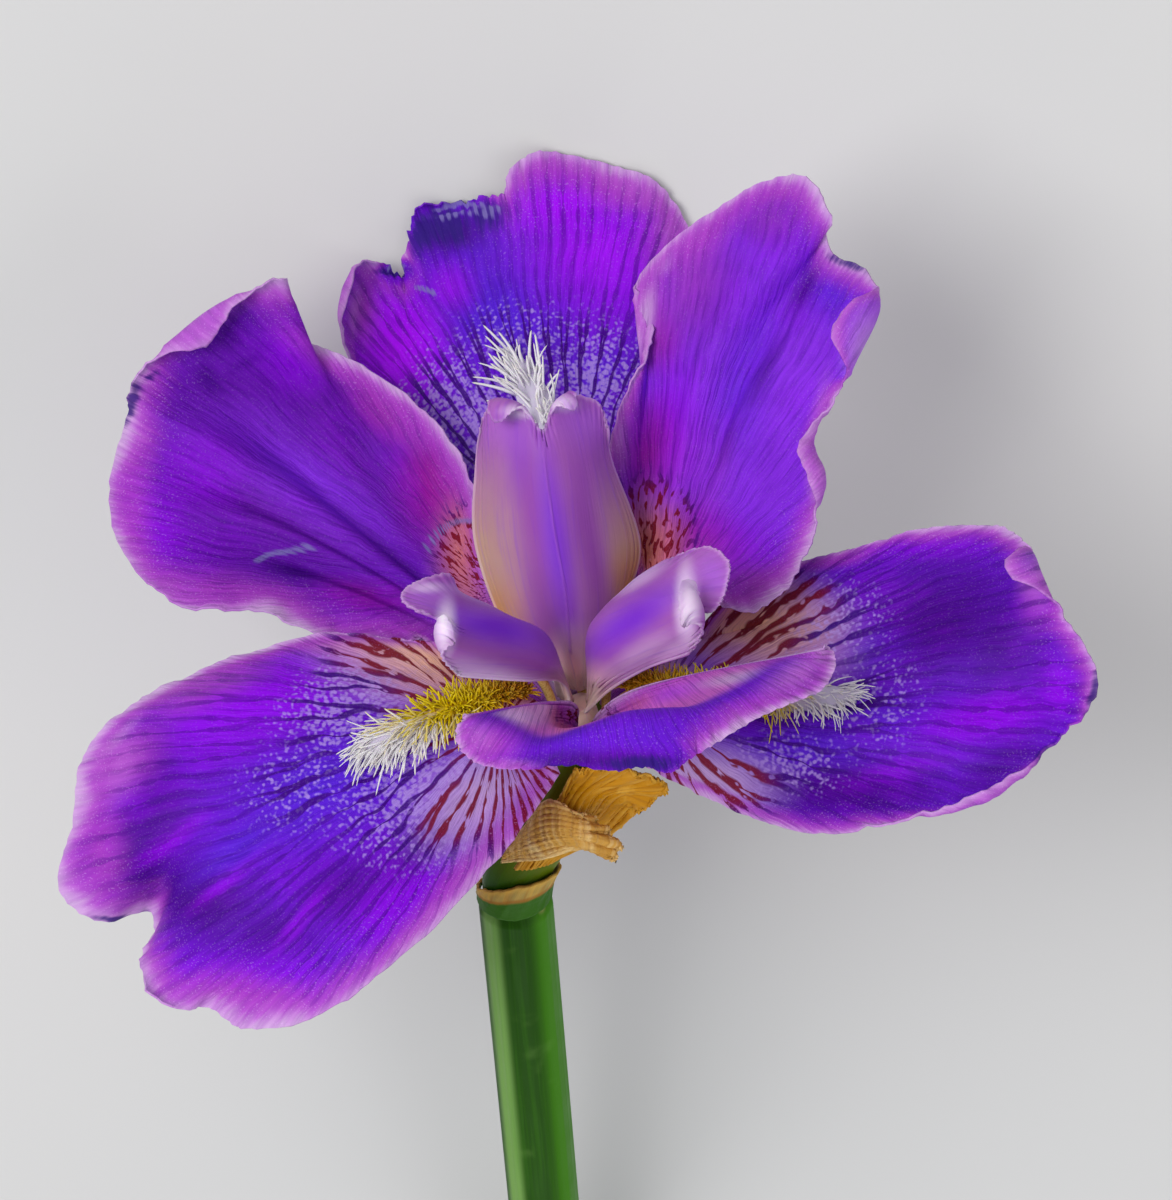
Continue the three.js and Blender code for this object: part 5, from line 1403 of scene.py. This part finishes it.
def beard_ground(beard, s, w):
    """Ground of a beard at s along it and w across it, with the directions there."""
    petal = PETALS[beard["fall"]]
    way = petal.get("side", 1)

    def at(s, w):
        narrow = np.sqrt(np.maximum(1 - (np.maximum(s - 0.75, 0) / 0.25) ** 2, 0.12))
        spot = smooth_line(beard["path"], s)
        return petal_point(petal, spot[..., 0], spot[..., 1] + w * BEARD_WIDTH * narrow)

    along = at(np.minimum(s + BEARD_STEP, 1), w) - at(np.maximum(s - BEARD_STEP, 0), w)
    across = at(s, w + BEARD_STEP * 20) - at(s, w - BEARD_STEP * 20)
    return at(s, w), unit(np.cross(along, across)) * way, unit(along), unit(across)


def make_hairs(root, way, bend, length, width, sections=6, sides=4):
    """Bent hairs with blunt tips. Each centre line is root + way times length times t + bend times
    t squared, and each ring is a little narrower than the one before it. Returns points, triangles
    and the place along each hair."""
    t = np.append(np.linspace(0, 0.8, sections - 1), 0.95)
    centre = (root[:, None] + way[:, None] * (length[:, None] * t)[..., None]
              + bend[:, None] * (t ** 2)[None, :, None])
    across = unit(np.cross(way, HAIR_HINT))
    other = np.cross(way, across)
    angle = np.linspace(0, 2 * np.pi, sides, endpoint=False)
    r = width[:, None] / 2 * (1 - t ** 2.4 * 0.55)
    round_way = (across[:, None, None] * np.cos(angle)[None, None, :, None]
                 + other[:, None, None] * np.sin(angle)[None, None, :, None])
    rings = centre[:, :, None] + round_way * r[:, :, None, None]
    tip = root + way * length[:, None] + bend
    count = sections * sides
    points = np.concatenate([rings.reshape(len(root), -1, 3), tip[:, None], root[:, None]], 1)
    skin = halves(grid_faces(sections, sides, wrap=True))
    one = outward(points[0], np.concatenate([skin, end_caps(sections, sides, count + 1, count)]))
    faces = (one[None] + (np.arange(len(root)) * (count + 2))[:, None, None]).reshape(-1, 3)
    along = np.concatenate([np.repeat(t, sides), [1.0, 0.0]])
    return points.reshape(-1, 3), faces, np.tile(along, len(root))


def hair_material(colours):
    """Hair: orange deep in the throat, then yellow with patches of painted light, then white with a
    yellowish tip, patches of painted shade and painted shade at the roots.
    """
    material, tree = new_material("beard_hair", 0.45, 0.3, 0.15)
    along, white = tree.field("hair"), tree.field("white")
    patches = tree.noise(tree.place(), 1500.0, 2.0)
    yellow = tree.layers(
        colours.yellow,
        (tree.field("throat"), colours.orange),
        (along.steps(0.0, 0.5, 0.5, 0.0), colours.orange),
        # Painted light in patches on the yellow hairs
        (patches.steps(0.45, 0.7, 0.0, 0.35), colours.sunlit_yellow))
    pale = tree.layers(
        colours.white,
        (along.steps(0.7, 1.0) * white.steps(1.0, 0.6, 0.25, 1.0), colours.tip),
        # Painted shade: patches on the white hairs, and at their roots
        (patches.steps(0.5, 0.75, 0.0, 0.25), colours.shade),
        (along.steps(0.0, 0.4, 0.6, 0.0), colours.root))
    tree.dress(tree.blend(white, yellow, pale), patches.steps(0.3, 0.7, 0.38, 0.6), (patches, 0.2, 0.00005))
    return material


def make_beard(side, shade, settings, material, rng):
    """One strip of a beard: a low mound on the fall, and its hairs, leaning out and forward."""
    beard = BEARDS[side]
    yellow = shade == "yellow"
    start, end = (0.0, beard["split"]) if yellow else (beard["split"] - 0.02, 1.0)
    count = round((settings.yellow_hairs if yellow else settings.white_hairs) * beard["share"])
    rows, columns = MOUND_GRID
    mound_s, w = np.meshgrid(np.linspace(start, end, rows), np.linspace(-1, 1, columns), indexing="ij")
    ground, normal, _, _ = beard_ground(beard, mound_s, w)
    mound = ground + normal * (0.5 + 0.45 * (1 - w ** 2))[..., None]
    body = np.concatenate([(mound + normal * 0.25).reshape(-1, 3), (mound - normal * 0.25).reshape(-1, 3)])
    quads = outward(body, blade_faces(rows, columns))
    s = np.sort(rng.uniform(start + 0.01, end - 0.01, count))
    w = rng.uniform(-0.95, 0.95, count)
    ground, normal, along, across = beard_ground(beard, s, w)
    free = lambda low, high: rng.uniform(low, high, count)[:, None]
    pull = np.array(beard["pull"]) * ease(s, 0.35, 0.75)[:, None]
    lean = (0.1 + 1.3 * ease(s, 0.5, 1.0))[:, None] + free(-0.5, 0.5)
    way = normal + along * lean + across * (1.1 * w[:, None] + free(-0.5, 0.5)) + pull * free(0.2, 1.0)
    long = (1.6 + (beard["tuft"] - 1.6) * ease(s, 0.3, 0.8)) * rng.uniform(0.65, 1.25, count)
    bend = along * free(-0.9, 0.8) + across * free(-1.3, 1.3) - normal * free(-0.1, 0.9)
    bend = (bend + pull * free(0.0, 1.2)) * (long / 3)[:, None]
    width = settings.hair_width * METRE * beard["stout"] * rng.uniform(0.7, 1.15, count)
    points, tri, hair = make_hairs(ground + normal * 0.6, unit(way), bend, long, width)
    points = np.concatenate([body, points])
    faces = np.concatenate([halves(quads), tri + len(body)])
    piece = make_mesh(f"beard_{side}_{shade}_hairs", points, faces)
    each = len(hair) // count
    low_side = -(across @ np.array([0.0, 1.0, 0.0])) * w * beard["low"] + free(-0.07, 0.07)[:, 0]
    place_on = np.concatenate([both_sides(mound_s), np.repeat(s, each)])
    mixed = place_on + np.concatenate([np.zeros(len(body)), np.repeat(low_side, each)])
    give_attribute(piece, "hair", np.concatenate([np.zeros(len(body)), hair]))
    give_attribute(piece, "throat", 1 - ease(place_on, 0.2, 0.6))
    give_attribute(piece, "white", ease(mixed, *beard["whitens"]))
    stand_for(piece, [f"beard_{side}_{shade}"], material)


class IRIS_OT_beards(bpy.types.Operator):
    """Beard of each fall: a low mound with hairs, yellow in the throat and white beyond"""
    bl_idname = "iris.beards"
    bl_label = "Beards"

    def execute(self, context):
        settings = context.scene.iris_beards
        material = hair_material(settings)
        for number, side in enumerate(BEARDS):
            for shade in ("yellow", "white"):
                rng = np.random.default_rng(10 * number + (shade == "white"))
                make_beard(side, shade, settings, material, rng)
        return {"FINISHED"}


def stem_material(colours):
    """Waxy green skin over long fibres, with painted light and shade round the stem."""
    material, tree = new_material("stem_skin", 0.5, 0.08)
    fibres = fibres_of(tree, 140.0, 4.0)
    base = tree.layers(
        tree.tint(),
        (fibres["Fibres"].steps(0.45, 0.7, 0.0, 0.2), colours.bright),
        (fibres["Patches"].steps(0.55, 0.75, 0.0, 0.2), colours.sage))
    tree.dress(base, fibres["Patches"].steps(0.35, 0.7, 0.36, 0.5), (fibres["Fibres"], 0.25, 0.0003),
               (tree.noise(tree.place(), 1800.0, 2.0), 0.12, 0.0001))
    return material


def paint_round(piece, centre_line, radius, colours):
    """Painted light and shade round the stem: a sage highlight strip on the left, painted shade of deep
    green in the middle and at the left edge, and bright green painted light on the right.
    """
    count = len(piece.data.vertices)
    flat = np.empty(count * 3, dtype=np.float32)
    piece.data.vertices.foreach_get("co", flat)
    points = flat.reshape(-1, 3) * METRE - SHIFT
    reach = np.clip((points[:, 0] - np.interp(points[:, 1], *centre_line)) / radius, -1, 1)
    # Painted light and shade: bright green on the right, a sage highlight strip on the left, deep green
    # shade at the left edge
    tint = covered(np.array(colours.green), ease(reach, 0.25, 0.75), colours.bright)
    tint = covered(tint, ease(-reach, 0.35, 0.62), colours.sage)
    tint = covered(tint, ease(-reach, 0.8, 0.97), colours.green)
    front = points @ np.array([RIGHT, FORWARD, SURFACE_UP])
    give_tint(piece, covered(tint, spots([STEM_SPOT], pixels(front)), colours.spot))


class IRIS_OT_stem(bpy.types.Operator):
    """Cut green stem, and the ovary with the floral tube above it"""
    bl_idname = "iris.stem"
    bl_label = "Stem and ovary"

    def execute(self, context):
        colours = context.scene.iris_stem
        material = stem_material(colours)
        t = np.concatenate([np.linspace(0, 0.04, 20)[:-1], np.linspace(0.04, 0.97, 120),
                            np.linspace(0.97, 1, 10)[1:]])
        path = STEM_TOP + STEM_WAY * (STEM_LENGTH * t)[:, None]
        radii = NECK_RADIUS + (STEM_RADIUS - NECK_RADIUS) * ease(t, 0.001, 0.02)
        radii = radii * (1 - 0.03 * ease(t, 0.985, 1))
        ribs = lambda row, angle: 1 + 0.010 * np.sin(9 * angle + 0.01 * row) + 0.006 * np.sin(23 * angle)
        stem = make_tube("green_stem", path, radii, STEM_SIDES, ribs)
        line = turned(path[[-1, 0]])
        paint_round(stem, (line[:, 1], line[:, 0]), STEM_RADIUS, colours)
        stand_for(stem, ["stem"], material)
        rows, sides = TUBE_GRID
        t = np.linspace(0, 1, rows)
        radii = smooth_line(TUBE_RADII[:, None], t)[:, 0]
        lobes = lambda row, angle: 1 + 0.035 * np.cos(3 * angle) + 0.01 * np.cos(12 * angle)
        tube = make_tube("ovary_and_tube", smooth_line(TUBE_PATH, t), radii, sides, lobes)
        high = 1 - ease(np.append(np.repeat(t, sides), [0, 1]), 0.55, 0.85)
        give_tint(tube, covered(np.array(colours.green), high, colours.tube))
        stand_for(tube, ["ovary_tube"], material)
        return {"FINISHED"}


def bract_material(name, main, light, dark, crumple, foot=None):
    """Dry papery bract: long veins, blotches, pale edges and a crinkled relief, with painted highlights
    on its crinkles and edges. With a foot colour the piece turns from its own colour, past a brown
    line, to that colour towards its foot."""
    material, tree = new_material(name, 0.6)
    fibres, margin = fibres_of(tree, 130.0, 3.0), tree.field("margin")
    crinkle = tree.noise(tree.place(), 240.0, 4.0, 0.6)
    base = tree.layers(
        main,
        (fibres["Fibres"].steps(0.4, 0.7, 0.0, 0.5), light),
        (fibres["Lines"] * 0.4, dark),
        # Painted highlight on the raised crinkles
        (crinkle.steps(0.54, 0.70, 0.0, 0.6), light),
        (fibres["Patches"].steps(0.55, 0.75, 0.0, 0.35), dark),
        # Pale edges, partly a painted highlight along the ridge
        (margin.steps(0.0, 0.1, 0.5, 0.0), light))
    if foot is not None:
        base = tree.layers(base, (margin.steps(0.13, 0.17) * 0.8, dark), (margin.steps(0.17, 0.21), foot))
    tree.dress(base, fibres["Patches"].steps(0.3, 0.7, 0.45, 0.7), (fibres["Fibres"], 0.3, 0.0003),
               (crinkle, crumple, 0.0014))
    return material


def collar_surface(rows, sides):
    """Collar wall round the stem's neck. Its lower edge and its height vary with the cosine and
    sine of the angle, its top leans to the right by a part of the height squared."""
    angle = np.linspace(0, 2 * np.pi, sides, endpoint=False)[None]
    t = np.linspace(1, 0, rows)[:, None]
    c, s = np.cos(angle), np.sin(angle)
    right = unit(RIGHT - STEM_WAY * STEM_WAY[0])
    other = np.cross(STEM_WAY, right)
    ragged = 0.18 * wander(angle / np.pi * 3, 9)
    foot = 0.1 - 0.3 * np.maximum(c, 0)
    along = foot - t * (foot + 2.8 + 1.5 * c + 2.5 * s + ragged)
    crease = 0.05 * wander(angle / np.pi * 6 + t, 5)
    radius = NECK_RADIUS + GAP + 0.12 + 0.3 * t * np.maximum(c, 0) + crease
    out = c[..., None] * right + s[..., None] * other
    middle = STEM_TOP + STEM_WAY * along[..., None] + RIGHT * (0.045 * along ** 2)[..., None]
    return middle, out, radius


def make_bract(name, material):
    """Papery blade through the bract's rows, pleated lengthwise and frilled."""
    petal = PETALS[name]
    side = petal.get("side", 1)
    a, v = petal_grid(*BRACT_GRID)
    plain = petal_point(petal, a, v)
    folds = 0.28 * wander(v * 9 + a * 2, 7) * ease(a, 0, 0.3)
    folded = plain + upper_normals(plain, side) * folds[..., None]
    points, normals, edge = frilled(folded, side, v, BRACT_SEED, BRACT_WAVES, 0.2, 0.35)
    flat = petal_map(points)
    if name == "spathe_outer":
        flat = flat[::-1]
    piece = make_blade(name + "_bract", points, normals, thinned(edge, 0.25, 0.55, 2), flat)
    give_attribute(piece, "margin", both_sides(edge / MARGIN_REACH))
    stand_for(piece, [name], material)


def make_collar(material):
    """Closed collar: outer wall, inner wall turned round, and a rim above and below."""
    rows, sides = COLLAR_GRID
    centre, out, radius = collar_surface(rows, sides)
    walls = [centre + out * (radius + more)[..., None] for more in (COLLAR_WALL, 0)]
    points = np.concatenate(walls).reshape(-1, 3)
    wall = grid_faces(rows, sides, wrap=True)
    count = rows * sides
    k = np.arange(sides)
    after = (k + 1) % sides
    last = count - sides
    top_rim = np.stack([k, after, after + count, k + count], -1)
    low_rim = np.stack([last + after, last + k, last + k + count, last + after + count], -1)
    faces = outward(points, np.concatenate([wall, wall[:, ::-1] + count, top_rim, low_rim]))
    piece = make_mesh("stem_collar", points, faces)
    girth = np.abs(k / sides * 2 - 1) * np.pi * NECK_RADIUS * TENTHS
    uv = np.stack(np.broadcast_arrays(girth[None], np.linspace(0, 0.04, rows)[:, None]), -1)
    give_uv(piece, np.tile(uv.reshape(-1, 2), (2, 1)))
    give_attribute(piece, "margin", np.tile(np.linspace(0, 0.4, rows).repeat(sides), 2))
    stand_for(piece, ["spathe_collar"], material)


class IRIS_OT_bracts(bpy.types.Operator):
    """Two dry bracts under the bloom, and the papery collar at the stem's top"""
    bl_idname = "iris.bracts"
    bl_label = "Bracts"

    def execute(self, context):
        shades = context.scene.iris_stem
        light, dark = shades.bract_light, shades.bract_dark
        make_bract("spathe_inner",
                   bract_material("bract_gold_skin", shades.bract, light, dark, 0.25))
        make_bract("spathe_outer",
                   bract_material("bract_paper", shades.paper, shades.paper_light, dark, 0.8))
        make_collar(bract_material("collar_husk", shades.husk, light, dark, 0.3, shades.sheath))
        return {"FINISHED"}


def set_up(name, data, spot, back, upright):
    """Lamp or camera at a spot, looking away from back, its top towards upright."""
    side = unit(np.cross(upright, back))
    turn = np.stack([side, np.cross(back, side), back, spot], 1)
    thing = bpy.data.objects.new(name, data)
    bpy.context.scene.collection.objects.link(thing)
    thing.matrix_world = Matrix([*turn.tolist(), (0, 0, 0, 1)])
    return thing


class IRIS_OT_stage(bpy.types.Operator):
    """Pale floor, soft lights and the camera at the picture's viewing angle"""
    bl_idname = "iris.stage"
    bl_label = "Stage"

    def execute(self, context):
        settings = context.scene.iris_stage
        scene = context.scene
        scene.view_settings.view_transform = "Standard"
        mesh = bpy.data.meshes.new("floor")
        corners = [(x * FLOOR_REACH, y * FLOOR_REACH, 0) for x, y in ((-1, -1), (1, -1), (1, 1), (-1, 1))]
        mesh.from_pydata(corners, [], [(0, 1, 2, 3)])
        floor = bpy.data.objects.new("floor", mesh)
        scene.collection.objects.link(floor)
        material, tree = new_material("floor_paint", 0.8)
        grain = tree.noise(tree.place(), 6.0, 2.0)
        shade = tree.blend(grain.steps(0.3, 0.7), settings.floor, settings.floor_shade)
        tree.dress(shade, grain.steps(0.3, 0.7, 0.75, 0.85))
        mesh.materials.append(material)
        world = bpy.data.worlds.new("even_air")
        world.use_nodes = True
        air = world.node_tree.nodes["Background"]
        air.inputs["Color"].default_value = (0.95, 0.97, 1.0, 1)
        air.inputs["Strength"].default_value = settings.air
        scene.world = world
        for name, power, spread, spot in (("key_light", settings.key, 0.5, (-0.45, 0.35, 0.75)),
                                          ("fill_light", settings.fill, 0.6, (0.6, -0.2, 0.6)),
                                          ("front_light", settings.front, 0.6, (0.05, -0.75, 0.4))):
            light = bpy.data.lights.new(name, "AREA")
            light.energy = power
            light.size = spread
            set_up(name, light, np.array(spot), unit(np.array(spot) - LIT_POINT), np.array([0.0, 0.0, 1.0]))
        eye = np.array([0.0, 0.0, EYE])
        camera = bpy.data.cameras.new("picture_camera")
        camera.lens = EYE / PIXEL / PICTURE_HEIGHT * camera.sensor_width
        camera.clip_end = 20
        back = turned(unit(eye - place([(*MIDDLE, 0)], NEAR)[0]))
        upright = turned(np.array([0.0, 1.0, 0.0]))
        scene.camera = set_up("picture_camera", camera, to_part(eye), back, upright)
        return {"FINISHED"}


class IRIS_PT_panel(bpy.types.Panel):
    """Every colour and size of the flower, and a button for each group of pieces"""
    bl_idname = "IRIS_PT_panel"
    bl_label = "Iris flower"
    bl_space_type = "VIEW_3D"
    bl_region_type = "UI"
    bl_category = "Iris"

    def draw(self, context):
        for group in GROUPS:
            box = self.layout.box()
            settings = getattr(context.scene, group)
            for key in settings.__annotations__:
                box.prop(settings, key)
        for operator in OPERATORS:
            self.layout.operator(operator.bl_idname)


GROUPS = {"iris_petals": IrisPetalColours, "iris_styles": IrisStyleColours,
          "iris_beards": IrisBeardSettings, "iris_stem": IrisStemColours, "iris_stage": IrisStageSettings}
OPERATORS = (IRIS_OT_stem, IRIS_OT_bracts, IRIS_OT_falls, IRIS_OT_standards, IRIS_OT_style_arms,
             IRIS_OT_stamens, IRIS_OT_beards, IRIS_OT_stage)


def register():
    """Adds every class, and the settings of each group to the scene."""
    for kind in (*GROUPS.values(), *OPERATORS, IRIS_PT_panel):
        bpy.utils.register_class(kind)
    for name, kind in GROUPS.items():
        setattr(bpy.types.Scene, name, PointerProperty(type=kind))


def unregister():
    """Takes the settings and the classes away again."""
    for name in GROUPS:
        delattr(bpy.types.Scene, name)
    for kind in reversed((*GROUPS.values(), *OPERATORS, IRIS_PT_panel)):
        bpy.utils.unregister_class(kind)


def main():
    """Registers the add-on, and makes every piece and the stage."""
    register()
    for operator in OPERATORS:
        getattr(bpy.ops.iris, operator.bl_idname.split(".")[1])()
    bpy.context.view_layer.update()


if __name__ == "__main__":
    main()
